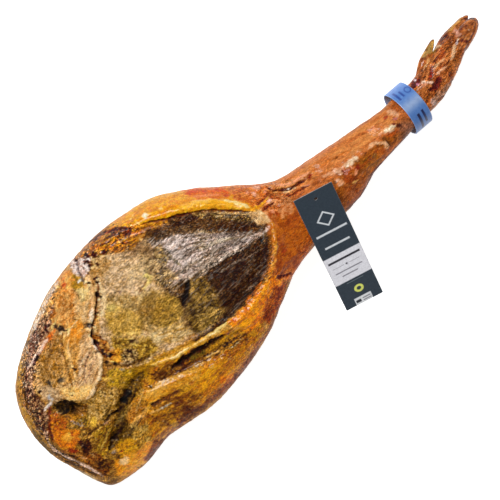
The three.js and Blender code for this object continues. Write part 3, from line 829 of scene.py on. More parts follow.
def paint_shoulder(skin):
    """The golden upper left edge with its dried dark streaks."""
    edge = [
        (74, 258), (92, 238), (112, 222), (130, 214), (150, 222), (142, 240), (128, 250), (106, 254),
        (88, 256),
    ]
    skin.field(edge, (194, 136, 64), (142, 78, 28), fibres(24, 7, 1.8, 71, 1.5), soft=3, gloss=0.6)
    golden_top = [(106, 228), (114, 219), (132, 212), (144, 214), (138, 226), (120, 227)]
    skin.field(golden_top, (212, 150, 52), (200, 130, 40), blotches(3, 72), soft=3)
    golden_band = [(106, 238), (118, 235), (132, 238), (142, 237), (134, 247), (114, 250), (98, 251)]
    skin.field(golden_band, (218, 152, 50), (152, 84, 16), fibres(16, 8, 1.5, 73, 1.5), soft=3)
    left_streak = [(88, 243), (98, 236), (106, 230)]
    skin.stroke(left_streak, 1, (62, 28, 28))
    upper_streak = [(103, 233), (112, 229.5), (122, 228), (131, 229)]
    skin.stroke(upper_streak, 1.5, (84, 32, 16), rise=-0.8)
    middle_streak = [(105, 238), (112, 235), (120, 232)]
    skin.stroke(middle_streak, 1.6, (84, 44, 44), rise=-0.6)
    dark_blister = [(120, 229), (132, 227), (132, 236), (124, 237)]
    skin.field(dark_blister, (130, 70, 42), (34, 6, 4), blotches(1.8, 74, 1.8), soft=2, gloss=0.8)
    lower_streak = [(96, 247), (104, 243), (112, 240)]
    skin.stroke(lower_streak, 1, (120, 62, 34))
    orange_streak = [(132, 234), (138, 231), (142, 229)]
    skin.stroke(orange_streak, 2, (214, 116, 36))
    specks = (
        ((86, 255), (3, 2.6), 0), ((94, 254), (4, 2.8), 15),
        ((104, 252), (4, 1.9), 15), ((88, 262), (3.6, 2), 0),
        ((90, 266.5), (2.4, 1.6), 20), ((96, 265), (2.2, 1.5), 0),
        ((91, 271), (1.6, 1.6), 0), ((89, 275), (1.2, 1.6), 0),
        ((95, 279), (3, 1), 20), ((85, 263), (1.4, 2.4), 0),
        ((74, 258), (2.4, 1.4), 50), ((125, 243), (3, 0.8), 15),
    )
    speck_brown = (56, 22, 14)
    for centre, radii, turn in specks:
        skin.spot(centre, radii, speck_brown, turn, rise=-0.7, gloss=0.6)
    pale_rind = [(108, 222), (118, 216), (130, 210)]
    skin.stroke(pale_rind, 1.2, (196, 156, 70))


def paint_middle(skin):
    """The grey tan meat in the middle, drier than the rest."""
    middle = [
        (92, 258), (118, 248), (146, 240), (160, 250), (156, 284), (184, 300), (196, 330), (176, 350),
        (138, 366), (112, 364), (100, 346), (99, 300), (96, 276),
    ]
    skin.field(middle, (214, 180, 138), (166, 128, 80), fibres(36, 4, 1.5, 81, 1.5), soft=4, gloss=0.25)
    left_corner = [(88, 262), (104, 256), (112, 262), (104, 276), (92, 280)]
    skin.field(left_corner, (198, 158, 102), (152, 106, 52), blotches(2.4, 82, 1.4), soft=4)
    brown_top = [(126, 242), (146, 236), (158, 246), (152, 260), (136, 256)]
    skin.field(brown_top, (104, 74, 46), (190, 162, 124), blotches(1.7, 83, 1.7), soft=4)
    pale_centre = [(126, 268), (142, 264), (154, 268), (148, 280), (130, 284)]
    skin.field(pale_centre, (198, 170, 128), (186, 150, 98), blotches(4, 84), soft=6)
    olive_patch = [(146, 262), (158, 264), (158, 276), (150, 282), (144, 276)]
    skin.field(olive_patch, (200, 180, 100), (160, 134, 64), blotches(2.4, 85, 1.3), soft=4)
    lower_middle = [
        (104, 296), (140, 294), (160, 288), (186, 300), (190, 322), (160, 332), (126, 332), (106, 324),
    ]
    skin.field(lower_middle, (190, 156, 98), (134, 98, 48), blotches(3.4, 86, 1.4), soft=6)
    yellow_left = [(104, 312), (120, 306), (142, 316), (140, 336), (112, 338)]
    skin.field(yellow_left, (200, 158, 78), (162, 120, 46), blotches(4, 87, 1.2), soft=6)
    olive_right = [(158, 296), (182, 292), (184, 312), (170, 332), (150, 322)]
    skin.field(olive_right, (180, 140, 62), (138, 102, 42), blotches(3, 88, 1.3), soft=6)
    pale_foot = [(150, 330), (170, 326), (192, 320), (198, 330), (178, 342), (154, 346)]
    skin.field(pale_foot, (216, 188, 136), (170, 126, 60), fibres(20, 8, 1.3, 89, 1.5), soft=5)
    golden_foot = [(110, 338), (150, 338), (160, 350), (142, 363), (116, 356)]
    skin.field(golden_foot, (198, 154, 60), (112, 76, 26), blotches(2.4, 90, 1.5), soft=4)
    orange_corner = [(108, 352), (116, 348), (124, 352), (121, 362), (110, 362)]
    skin.field(orange_corner, (232, 170, 56), (156, 84, 20), blotches(2, 91, 1.3), soft=3)
    pale_scratch = [(158, 273), (150, 281), (142, 290)]
    skin.stroke(pale_scratch, 1.6, (224, 188, 104), rise=0.8)
    dark_scratch = [(147, 281), (142, 288), (138, 293)]
    skin.stroke(dark_scratch, 0.9, (98, 58, 30), rise=-0.8)
    foot_line = [(166, 330), (182, 324), (196, 320)]
    skin.stroke(foot_line, 1, (214, 170, 96))
    # Painted shade in the crease at the foot of the middle
    foot_crease = [(106, 366), (116, 364), (126, 365), (138, 362), (150, 355)]
    skin.stroke(foot_crease, 1.7, (68, 40, 8), rise=-2)
    dark_crumbs = [(120, 354), (128, 349), (138, 350), (138, 358), (130, 362), (122, 361)]
    skin.field(dark_crumbs, (44, 22, 6), (200, 160, 96), blotches(1.5, 92, 1.9), soft=2.5, rise=-0.6)
    small_spots = (
        ((136, 341), (3.6, 1.8), 35, (58, 44, 40)), ((148, 347), (4, 1), 10, (96, 68, 40)),
        ((150, 336), (3, 1.6), 10, (232, 206, 160)), ((133, 333), (6, 2), 10, (236, 196, 110)),
        ((119, 293), (1.8, 1.8), 0, (90, 60, 50)), ((150, 300), (8, 5), 20, (140, 108, 56)),
        ((104, 313), (1, 1), 0, (110, 70, 40)), ((107, 362), (3, 2), 0, (60, 40, 26)),
        ((111, 308), (5, 4), 0, (198, 172, 96)),
    )
    for centre, radii, turn, colour in small_spots:
        skin.spot(centre, radii, colour, turn, strength=0.85, rise=-0.3)


MEMBRANE_FIBRES = 34
MEMBRANE_STEPS = 12
MEMBRANE_PALE = (216, 198, 190)
MEMBRANE_DARK = (66, 46, 36)


def paint_membrane(skin):
    """The fan of fibres over the muscle, which draw together at the upper right."""
    upper = smooth_line([(152, 246), (176, 236), (206, 234), (236, 232), (266, 229)], MEMBRANE_STEPS)
    lower = smooth_line([(176, 288), (198, 268), (220, 255), (244, 243), (269, 231)], MEMBRANE_STEPS)
    for i in range(MEMBRANE_FIBRES):
        share = (i + 0.5) / MEMBRANE_FIBRES
        line = upper + share * (lower - upper)
        start = round(MEMBRANE_STEPS * 0.5 * abs(math.sin(2.3 * i)))
        end = MEMBRANE_STEPS - round(MEMBRANE_STEPS * 0.25 * abs(math.sin(4.1 * i + 1)))
        if i % 2 == 0:
            colour, strength, rise = MEMBRANE_PALE, 0.75, 0.3
        else:
            colour, strength, rise = MEMBRANE_DARK, 0.7, -0.3
        skin.stroke(line[start:end], 0.9, colour, strength=strength, soft=1.4, rise=rise, broken=0.6,
                    taper=0.3)


def paint_muscle(skin):
    """The dark dried muscle inside the collar of fat."""
    muscle = [
        (138, 246), (156, 230), (176, 218), (212, 211), (250, 212), (266, 224), (271, 246), (268, 268),
        (252, 298), (228, 319), (200, 338), (186, 326), (180, 300), (164, 288), (148, 272),
    ]
    skin.field(muscle, (58, 34, 18), (116, 88, 60), fibres(38, 8, 2, 101, 1.4), soft=6)
    tan_edge = [
        (134, 250), (146, 240), (158, 250), (170, 262), (180, 276), (176, 290), (158, 284), (144, 268),
    ]
    skin.field(tan_edge, (194, 160, 108), (122, 92, 56), fibres(44, 6, 2.2, 102, 1.7), soft=8)
    pale_skin = [
        (150, 246), (166, 238), (186, 235), (206, 236), (210, 246), (198, 260), (178, 274), (166, 268),
        (156, 256),
    ]
    skin.field(pale_skin, (218, 198, 186), (136, 110, 92), fibres(42, 9, 1.8, 103, 1.4), soft=8)
    brown_gap = [(150, 248), (160, 244), (170, 258), (166, 266), (156, 258)]
    skin.field(brown_gap, (160, 130, 76), (84, 56, 28), blotches(2, 114, 1.5), soft=4)
    tan_centre = [(196, 232), (212, 232), (222, 240), (208, 250), (196, 248)]
    skin.field(tan_centre, (186, 162, 122), (138, 110, 78), fibres(42, 7, 1.6, 104, 1.4), soft=5)
    dark_right = [
        (206, 266), (232, 254), (254, 245), (269, 238), (270, 262), (260, 288), (240, 308), (222, 312),
        (208, 296),
    ]
    skin.field(dark_right, (44, 24, 12), (76, 52, 34), fibres(42, 5, 1.4, 105, 1.5), soft=7)
    olive_foot = [(186, 280), (204, 276), (216, 292), (222, 306), (212, 322), (198, 334), (186, 320)]
    skin.field(olive_foot, (148, 113, 56), (66, 47, 22), fibres(46, 7, 2.2, 106, 1.5), soft=8)
    pale_foot = [(196, 316), (212, 308), (226, 308), (214, 324), (200, 334)]
    skin.field(pale_foot, (176, 138, 72), (112, 86, 42), fibres(42, 6, 2, 115, 1.4), soft=6)


def paint_sinews(skin):
    """The muscle's dark top, darker still along the crease under the collar as painted shade, its sinews and
    the fibres over them.
    """
    # The muscle's own dark colour, darker along the crease under the collar with painted shade
    dark_top = [
        (136, 238), (150, 230), (164, 224), (184, 219), (204, 220), (224, 225), (244, 229), (262, 226),
    ]
    skin.stroke(dark_top, 6, (48, 24, 12), (104, 72, 44), fibres(24, 6, 1.8, 107, 1.4), rise=-0.8, soft=6,
                broken=0.15)
    tan_top = [(192, 214), (206, 216), (222, 217), (240, 219), (256, 220)]
    skin.stroke(tan_top, 2.6, (180, 150, 92), (84, 52, 20), blotches(2, 109, 1.7), soft=3)
    top_ridge = [(214, 212), (228, 213), (242, 213.5), (256, 215.5)]
    skin.stroke(top_ridge, 1.5, (176, 142, 92), rise=0.5)
    upper_corner = [(248, 212), (258, 209), (268, 215), (271, 224), (260, 225), (252, 219)]
    skin.field(upper_corner, (234, 196, 144), (190, 138, 82), blotches(2.6, 110), soft=4)
    wide_sinew = [
        (269, 229), (256, 236), (242, 244), (228, 251), (214, 258), (200, 266), (186, 275), (170, 286),
    ]
    skin.stroke(wide_sinew, 3.4, (228, 204, 188), (140, 110, 92), fibres(36, 9, 1.4, 111, 1.5), soft=4,
                rise=0.9)
    second_sinew = [(244, 234), (230, 240), (216, 248), (202, 256), (190, 265), (178, 274)]
    skin.stroke(second_sinew, 2.4, (222, 200, 176), (118, 92, 68), fibres(38, 9, 1.4, 112, 1.5), soft=4,
                rise=0.6)
    sinew_furrow = [(240, 243), (226, 250), (212, 257), (198, 266)]
    skin.stroke(sinew_furrow, 0.8, (92, 68, 52), rise=-0.8)
    dark_gap = [(214, 232), (228, 229), (244, 232)]
    skin.stroke(dark_gap, 1.6, (86, 60, 40), soft=2)
    faint_fibres = (
        ([(262, 248), (250, 256), (238, 262)], 0.5), ([(244, 258), (230, 266), (218, 274)], 0.6),
        ([(252, 268), (246, 274), (240, 280)], 0.4), ([(258, 282), (250, 288), (242, 294)], 0.4),
        ([(232, 252), (222, 259), (214, 265)], 0.6), ([(212, 268), (200, 276), (190, 282)], 0.5),
        ([(260, 270), (256, 274)], 0.5), ([(206, 258), (196, 268), (188, 276)], 0.5),
    )
    for line, strength in faint_fibres:
        skin.stroke(line, 0.7, (170, 152, 138), strength=strength)
    paint_membrane(skin)
    long_streaks = (
        ([(186, 272), (200, 260), (218, 250), (238, 242)], (84, 66, 50), -0.7),
        ([(176, 263), (190, 252), (205, 244)], (100, 82, 66), -0.5),
        ([(206, 247), (222, 241), (239, 237)], (112, 92, 58), -0.4),
        ([(164, 247), (172, 257), (181, 266)], (84, 70, 36), -0.4),
        ([(170, 278), (182, 270), (192, 262)], (78, 60, 40), -0.5),
        ([(196, 277), (210, 267), (228, 256), (248, 246)], (240, 224, 208), 0.5),
        ([(184, 282), (196, 272), (213, 262)], (236, 218, 200), 0.5),
        ([(197, 251), (214, 243), (232, 237)], (232, 216, 192), 0.4),
        ([(168, 262), (180, 253), (192, 246)], (228, 212, 200), 0.4),
    )
    for line, colour, rise in long_streaks:
        skin.stroke(line, 1.3, colour, rise=rise, strength=0.7, broken=0.5, taper=0.3)


def paint_muscle_edges(skin):
    """The muscle's lower and right edge and the deep notch, black with painted shade."""
    lower_edge = [(239, 305), (227, 317), (214, 328), (203, 336), (190, 343)]
    skin.stroke(lower_edge, 2, (34, 16, 4), (74, 46, 16), blotches(1.8, 113, 1.4), rise=-1)
    # Painted shade in the deep notch
    notch = [(189, 280), (187, 290), (185, 299), (182.5, 307)]
    skin.stroke(notch, 2.4, (24, 11, 2), rise=-3, broken=0, gloss=0.1)
    right_edge = [(269, 234), (270, 250), (268, 266), (260, 284)]
    skin.stroke(right_edge, 1.6, (136, 80, 22), gloss=0.5)
    sinew_root = (267, 229.5)
    skin.spot(sinew_root, (2.6, 1.4), (236, 206, 190), 40)


def paint_collar(skin):
    """The upper collar of yellow fat over the muscle, and the reddened rind above it."""
    upper_collar = [
        (112, 223), (130, 209), (150, 198), (170, 191), (190, 188), (232, 185), (262, 182), (270, 190),
        (264, 206), (252, 212), (230, 210), (205, 209), (182, 215), (165, 219), (150, 222), (134, 226),
    ]
    skin.field(upper_collar, (235, 170, 44), (217, 131, 22), blotches(3, 121, 1.3), soft=3, gloss=0.75)
    outer_gold = [(128, 211), (150, 199), (172, 192), (192, 189)]
    skin.stroke(outer_gold, 3, (224, 160, 52), soft=3)
    left_end = [(132, 231), (145, 227), (158, 224), (168, 221)]
    skin.stroke(left_end, 2.8, (212, 150, 44), (148, 80, 14), blotches(2, 122))
    red_rind = [(182, 190), (200, 188), (226, 186), (234, 195), (222, 199), (204, 199), (190, 197)]
    skin.field(red_rind, (204, 84, 12), (226, 136, 52), blotches(3, 123, 1.6), soft=4, gloss=0.6)
    red_shoulder = [(226, 186), (262, 182), (272, 190), (262, 203), (252, 206), (236, 200)]
    skin.field(red_shoulder, (222, 136, 68), (188, 92, 42), blotches(2.6, 124, 1.4), soft=3, gloss=0.7)
    red_streak = [(184, 194), (198, 191), (212, 190), (226, 191)]
    skin.stroke(red_streak, 1.9, (206, 76, 12), gloss=0.6, soft=3.5, broken=0.6)
    pale_streak = [(192, 197), (206, 195), (220, 195)]
    skin.stroke(pale_streak, 1.2, (232, 138, 84), gloss=0.9)
    # A raised ridge of fat whose bright yellow is partly a painted highlight
    ridge = [(173, 213), (186, 207), (202, 203.5), (220, 203), (237, 205), (250, 208)]
    skin.stroke(ridge, 3, (250, 193, 80), (233, 163, 52), blotches(3, 125), rise=1.2, gloss=0.9)
    ridge_shine = [(224, 201), (237, 203), (250, 208)]
    skin.stroke(ridge_shine, 1.3, (253, 232, 168), rise=0.6, gloss=1)
    second_shine = [(188, 207), (200, 202), (212, 201)]
    skin.stroke(second_shine, 1.4, (252, 196, 96), rise=0.4, gloss=1)
    # Painted shade in the gap under the collar's lower edge
    undercut = [
        (141, 225), (152, 222), (163, 220), (176, 217), (190, 213.5), (205, 211), (226, 210.5),
        (250, 212.5),
    ]
    skin.stroke(undercut, 1, (78, 36, 2), rise=-2)
    # A painted glint on the fat
    glint_on_fat = (146, 215)
    skin.spot(glint_on_fat, (3.2, 2.4), (255, 242, 208), 20, gloss=1)
    beads = ((134, 216), (137, 224), (141, 238), (152, 213), (160, 208), (131, 219))
    for centre in beads:
        skin.spot(centre, (1.6, 1.1), (250, 210, 140), 20, strength=0.7)


def paint_lower_collar(skin):
    """The collar's right and lower part, and the rind beside it."""
    lower_collar = [
        (286, 284), (275, 276), (266, 282), (256, 294), (242, 309), (228, 321), (238, 332), (254, 328),
        (270, 318), (280, 300),
    ]
    skin.field(lower_collar, (240, 154, 26), (206, 104, 14), blotches(3.4, 126, 1.3), soft=3, gloss=0.85)
    right_ridge = [(271, 220), (274, 232), (275, 246), (274, 260), (271, 272), (267, 280)]
    skin.stroke(right_ridge, 2, (230, 166, 76), (184, 100, 26), blotches(3, 127), rise=1.5, gloss=0.9)
    lower_ridge = [(270, 281), (263, 292), (255, 303), (246, 314), (236, 324)]
    skin.stroke(lower_ridge, 2.4, (246, 170, 48), (234, 134, 20), blotches(3, 128, 1.4), rise=1.5,
                gloss=0.95)
    orange_line = [(262, 282), (254, 292), (246, 302)]
    skin.stroke(orange_line, 1.2, (214, 108, 34))
    lower_shine = [(232, 330), (244, 324), (256, 316)]
    skin.stroke(lower_shine, 2, (250, 172, 36))
    red_side = [(274, 288), (287, 282), (280, 306), (270, 324), (261, 320), (266, 304)]
    skin.field(red_side, (172, 86, 14), (126, 50, 4), blotches(3, 129, 1.6), soft=5, gloss=0.35)
    # Painted shade along the right edge, away from the light
    shaded_side_edge = [(287, 290), (281, 306), (271, 326), (262, 342)]
    skin.stroke(shaded_side_edge, 2, (158, 88, 22), (106, 52, 8), blotches(2, 130))


def paint_fat_folds(skin):
    """The thick fat on the lower right, and the deep crevice along its top, dark with painted shade."""
    fat = [
        (150, 366), (180, 352), (214, 338), (240, 322), (264, 322), (262, 344), (244, 370), (224, 390),
        (196, 410), (166, 438), (150, 440), (146, 400),
    ]
    skin.field(fat, (208, 146, 38), (158, 90, 12), fibres(42, 12, 2, 141, 1.3), soft=3, gloss=0.7)
    upper_shade = [
        (150, 374), (176, 362), (200, 350), (228, 338), (236, 342), (210, 360), (190, 370), (158, 382),
    ]
    skin.field(upper_shade, (148, 98, 28), (72, 40, 8), fibres(30, 8, 1.4, 142, 1.5), soft=3)
    upper_lines = [(202, 356), (224, 342), (246, 333), (248, 342), (228, 358), (208, 364)]
    skin.field(upper_lines, (182, 124, 50), (34, 18, 4), fibres(34, 9, 1.1, 143, 1.9), soft=3)
    white_line = [(222, 353), (232, 347), (242, 340)]
    skin.stroke(white_line, 0.9, (228, 212, 182), rise=0.5)
    short_line = [(206, 358), (214, 353), (220, 350)]
    skin.stroke(short_line, 0.9, (236, 190, 120), rise=0.5)
    # Painted shade in the crevice under the ridge
    crevice = [(172, 368), (186, 358), (200, 350), (214, 342), (226, 335)]
    skin.stroke(crevice, 2.7, (34, 18, 6), soft=2, broken=0.15, rise=-3.6)
    crevice_wall = [(190, 360), (198, 356), (206, 352)]
    skin.stroke(crevice_wall, 1.4, (104, 84, 34))
    crevice_end = [(228, 338), (240, 332), (250, 327), (259, 322)]
    skin.stroke(crevice_end, 1.1, (88, 48, 18), rise=-1.2)


def paint_fat_ridges(skin):
    """The ridges and folds below the crevice, with painted highlights along the ridges."""
    inner_fold = [(152, 358), (168, 353), (182, 347), (196, 341)]
    skin.stroke(inner_fold, 2.4, (206, 150, 44), (160, 98, 24), blotches(2, 144))
    # A raised ridge with a painted highlight along it
    highlit_long_ridge = [(148, 365), (168, 359), (184, 350), (202, 340), (218, 330), (232, 320)]
    skin.stroke(highlit_long_ridge, 2.2, (252, 210, 120), (212, 150, 54), fibres(30, 8, 1.4, 145, 1.3), rise=1.8,
                gloss=0.9)
    ridge_shine = [(206, 337), (216, 331), (228, 322)]
    skin.stroke(ridge_shine, 1.2, (252, 226, 150), rise=0.5, gloss=1)
    left_shine = [(170, 359), (178, 355), (188, 349)]
    skin.stroke(left_shine, 1, (252, 224, 150), rise=0.4, gloss=1)
    left_fold = [(146, 390), (172, 380), (196, 368), (208, 368), (194, 386), (168, 396), (148, 404)]
    skin.field(left_fold, (224, 166, 70), (200, 128, 44), fibres(24, 8, 2, 146, 1.3), soft=3)
    # The fold's lip: a painted highlight
    highlit_fold_lip = [(151, 386), (170, 379), (186, 372), (198, 365), (206, 362)]
    skin.stroke(highlit_fold_lip, 1.3, (222, 168, 90), rise=1.2, gloss=0.9)
    golden_side = [
        (200, 368), (220, 354), (246, 340), (256, 336), (248, 356), (232, 374), (214, 390), (198, 398),
    ]
    skin.field(golden_side, (226, 158, 30), (182, 106, 8), fibres(45, 14, 2, 147, 1.3), soft=4, gloss=0.8)
    orange_side = [(218, 380), (234, 372), (236, 380), (222, 392)]
    skin.field(orange_side, (200, 102, 14), (226, 148, 32), fibres(45, 8, 1.6, 148, 1.4), soft=3)


def paint_fat_foot(skin):
    """The fat's darker foot with its cuts, and its outer edge, darkened with painted shade."""
    brown_foot = [(154, 402), (180, 392), (204, 394), (194, 410), (168, 426), (152, 424)]
    skin.field(brown_foot, (182, 124, 44), (108, 62, 12), fibres(30, 6, 2, 149, 1.5), soft=3)
    foot_crease = [(151, 405), (158, 402), (166, 398), (176, 393), (184, 390)]
    skin.stroke(foot_crease, 1.4, (70, 38, 8), rise=-1.6)
    dark_cut = [(151, 406), (155, 404), (160, 401)]
    skin.stroke(dark_cut, 2.2, (22, 14, 10), rise=-0.6)
    grey_line = [(160, 409), (166, 406), (172, 403)]
    skin.stroke(grey_line, 1, (196, 184, 160), rise=0.3)
    cut_lip = [(150, 414), (156, 411), (161, 409)]
    skin.stroke(cut_lip, 1.2, (226, 170, 96), rise=0.4)
    pinhole = (150, 387)
    skin.spot(pinhole, (1.3, 1.2), (34, 16, 8))
    # Painted shade along the lower right edge, away from the light
    shaded_outer_edge = [(263, 338), (246, 366), (228, 386), (206, 404), (184, 420), (166, 437)]
    skin.stroke(shaded_outer_edge, 2.6, (138, 72, 16), (90, 40, 6), blotches(2.4, 150), soft=4)
    dark_end = [(184, 408), (200, 404), (206, 408), (190, 420), (180, 418)]
    skin.field(dark_end, (84, 42, 6), (124, 76, 16), blotches(2, 151), soft=3)
    patches = (
        ((230, 356), (4, 1.2), 45, (170, 84, 30)), ((212, 366), (3, 1.2), 30, (240, 190, 120)),
        ((214, 380), (6, 3), 40, (228, 164, 40)), ((192, 384), (3, 2), 30, (150, 84, 40)),
        ((178, 404), (3, 2), 30, (90, 44, 20)), ((174, 424), (3, 5), 0, (192, 138, 28)),
        ((176, 419), (2, 1.4), 0, (100, 40, 16)), ((204, 386), (5, 2), 40, (226, 160, 44)),
    )
    for centre, radii, turn, colour in patches:
        skin.spot(centre, radii, colour, turn, strength=0.8)


def paint_butt(skin):
    """The rounded lobes of the lower left."""
    butt = [
        (36, 402), (50, 402), (88, 402), (104, 382), (140, 366), (160, 368), (152, 400), (152, 436),
        (142, 466), (110, 482), (66, 460), (44, 440),
    ]
    skin.field(butt, (180, 132, 60), (112, 72, 28), blotches(3, 161, 1.4), soft=4, gloss=0.5)
    olive_top = [(102, 376), (112, 368), (134, 367), (138, 374), (128, 386), (118, 389), (104, 385)]
    skin.field(olive_top, (186, 144, 44), (152, 112, 40), blotches(3, 162, 1.2), soft=3)
    golden_top = [(134, 366), (156, 356), (176, 354), (176, 362), (152, 374), (138, 382)]
    skin.field(golden_top, (186, 136, 38), (146, 98, 20), fibres(24, 8, 1.8, 163, 1.3), soft=4)
    brown_notch = [(97, 381), (106, 378), (110, 388), (104, 396), (96, 392)]
    skin.field(brown_notch, (112, 68, 24), (172, 130, 72), blotches(2, 164, 1.4), soft=3)
    pale_lobe = [(84, 404), (98, 392), (116, 388), (120, 402), (106, 418), (92, 424), (86, 416)]
    skin.field(pale_lobe, (198, 158, 92), (150, 108, 48), blotches(2.6, 165, 1.3), soft=4)
    right_lobe = [(132, 384), (146, 378), (152, 392), (150, 410), (142, 424), (128, 426), (130, 402)]
    skin.field(right_lobe, (198, 146, 58), (160, 94, 28), blotches(3, 166, 1.3), soft=4)
    right_lobe_foot = [(128, 408), (146, 404), (152, 416), (140, 428), (128, 428)]
    skin.field(right_lobe_foot, (180, 120, 52), (142, 82, 24), blotches(2.4, 167, 1.4), soft=4)
    dark_hollow = [(122, 424), (136, 424), (140, 436), (124, 444), (118, 438)]
    skin.field(dark_hollow, (80, 56, 22), (128, 94, 48), blotches(2.4, 168, 1.4), soft=4)
    cream_lobe = [(134, 426), (150, 422), (160, 434), (146, 446), (132, 440)]
    skin.field(cream_lobe, (200, 160, 84), (160, 114, 46), blotches(3, 169, 1.2), soft=4)
    striped_lobe = [(94, 430), (106, 422), (114, 426), (112, 452), (98, 456)]
    skin.field(striped_lobe, (180, 136, 48), (104, 64, 14), fibres(66, 12, 1.8, 170, 1.6), soft=3)
    left_foot = [(60, 448), (80, 450), (98, 454), (112, 464), (108, 480), (88, 470), (66, 457)]
    skin.field(left_foot, (176, 118, 56), (110, 60, 20), fibres(-28, 8, 2, 171, 1.4), soft=3)
    golden_hollow = [(116, 442), (130, 438), (138, 444), (136, 454), (124, 458), (116, 454)]
    skin.field(golden_hollow, (214, 158, 40), (184, 122, 28), blotches(3, 172), soft=3, gloss=0.7)
    golden_foot = [(116, 460), (134, 452), (150, 440), (160, 446), (144, 464), (124, 478), (114, 476)]
    skin.field(golden_foot, (246, 176, 66), (220, 130, 28), blotches(4, 173, 1.2), soft=3, gloss=0.75)
    brown_side = [(144, 460), (152, 442), (158, 434), (170, 434), (160, 452), (148, 462)]
    skin.field(brown_side, (140, 78, 26), (98, 52, 16), blotches(2.6, 174, 1.3), soft=3)
    foot_shine = (124, 461)
    skin.spot(foot_shine, (5, 3.4), (255, 206, 142), 20, gloss=0.9)
    orange_wall = [(50, 413), (58, 412), (67, 420), (68, 430), (57, 434), (51, 428)]
    skin.field(orange_wall, (194, 120, 26), (170, 82, 12), blotches(2.4, 175, 1.3), soft=3, gloss=0.6)
    orange_lobe = [(52, 432), (64, 428), (80, 430), (80, 442), (72, 450), (58, 446)]
    skin.field(orange_lobe, (222, 136, 32), (198, 100, 18), blotches(2.4, 176, 1.3), soft=3, gloss=0.6)
    lobe_shine = (68, 437)
    skin.spot(lobe_shine, (5.5, 4), (242, 168, 66), 20)


def paint_socket(skin):
    """The joint socket, its hollow dark with painted shade."""
    # The dark of the hollow is painted shade
    socket = [(52, 405), (60, 400), (72, 401), (81, 405), (83, 411), (76, 416), (66, 414), (57, 410)]
    skin.field(socket, (74, 52, 22), (18, 9, 3), blotches(2.2, 177, 1.8), soft=2, rise=-1.6, gloss=0.2)
    socket_side = [(74, 406), (88, 405), (88, 414), (78, 416)]
    skin.field(socket_side, (156, 110, 60), (94, 56, 14), blotches(2, 178, 1.4), soft=3)
    socket_foot = [(72, 417), (88, 414), (90, 426), (76, 428)]
    skin.field(socket_foot, (150, 118, 44), (120, 82, 26), blotches(2, 179, 1.4), soft=3)
    socket_edge = [(50, 405), (49, 416), (49.5, 428), (53, 442)]
    skin.stroke(socket_edge, 1.7, (92, 34, 16), rise=-1)


def paint_valley(skin):
    """The deep valley between the lobes, dark with painted shade, and the furrows beside it."""
    # The valley's dark, and the darker stretches in it, are painted shade
    valley = [
        (143, 372), (137, 381), (130, 391), (125, 400), (122, 412), (121, 424), (116, 436), (111, 449),
    ]
    skin.stroke(valley, 4.8, (38, 24, 8), (92, 68, 30), fibres(64, 9, 1.8, 180, 1.5), soft=6, rise=-2.4,
                broken=0.15)
    valley_deep = [(130, 390), (125, 396), (123, 403)]
    skin.stroke(valley_deep, 3.4, (20, 12, 4), rise=-1, broken=0.1)
    side_valley = [(104, 423), (110, 416), (119, 411)]
    skin.stroke(side_valley, 1.5, (20, 14, 6), rise=-2)
    lobe_crease = [(88, 437), (94, 430), (101, 425)]
    skin.stroke(lobe_crease, 1.3, (62, 38, 16), rise=-0.8)
    valley_crack = [(138, 384), (133, 395), (129, 406)]
    skin.stroke(valley_crack, 1, (24, 14, 6), rise=-1, broken=0.4)
    lobe_furrow = [(114, 400), (108, 412), (101, 421)]
    skin.stroke(lobe_furrow, 0.9, (92, 66, 30), rise=-0.6)
    lower_crack = [(120, 428), (114, 440), (108, 452)]
    skin.stroke(lower_crack, 1, (44, 28, 10), rise=-0.8, broken=0.4)
    pale_ridge = [(112, 426), (106, 438), (101, 450)]
    skin.stroke(pale_ridge, 1, (196, 160, 84), rise=0.4, strength=0.8)
    right_ridge = [(144, 388), (140, 400), (136, 412)]
    skin.stroke(right_ridge, 1.2, (226, 180, 104), rise=0.4, strength=0.7)
    left_furrow = [(92, 428), (88, 440), (90, 452)]
    skin.stroke(left_furrow, 1, (70, 40, 14), rise=-0.6, strength=0.8)


def paint_butt_pits(skin):
    """The pits and spots at the foot of the lobes."""
    dark_pit = [(78, 441), (90, 440), (93, 448), (88, 455), (82, 449)]
    skin.field(dark_pit, (36, 10, 2), (96, 56, 18), blotches(2, 181), soft=2.5, rise=-1)
    foot_pit = [(96, 462), (108, 458), (114, 462), (110, 468), (100, 470)]
    skin.field(foot_pit, (44, 16, 4), (126, 86, 40), blotches(1.8, 182, 1.5), soft=2.5, rise=-0.8)
    foot_edge = [(112, 466), (115, 472), (108, 480)]
    skin.stroke(foot_edge, 1.6, (140, 94, 50))
    small_spots = (
        ((94, 421), (3, 5), 0, (236, 186, 68)), ((72, 451), (5, 2), 0, (150, 50, 16)),
        ((72, 434), (1.6, 2.4), 0, (170, 70, 16)), ((112, 395), (2.2, 1.4), 40, (40, 28, 14)),
        ((104, 394), (2, 1.2), 0, (100, 74, 44)), ((105, 424), (3, 1), 30, (190, 140, 110)),
        ((121, 453), (1.6, 1.2), 0, (120, 50, 16)), ((140, 417), (2, 1), 0, (240, 180, 120)),
        ((104, 375), (2.4, 1.4), 0, (110, 60, 30)), ((106, 378), (5, 1.4), 0, (228, 178, 84)),
        ((84, 457), (2.4, 1), 0, (206, 150, 100)), ((96, 386), (2, 2), 0, (150, 110, 70)),
    )
    for centre, radii, turn, colour in small_spots:
        skin.spot(centre, radii, colour, turn, strength=0.85, rise=-0.2)


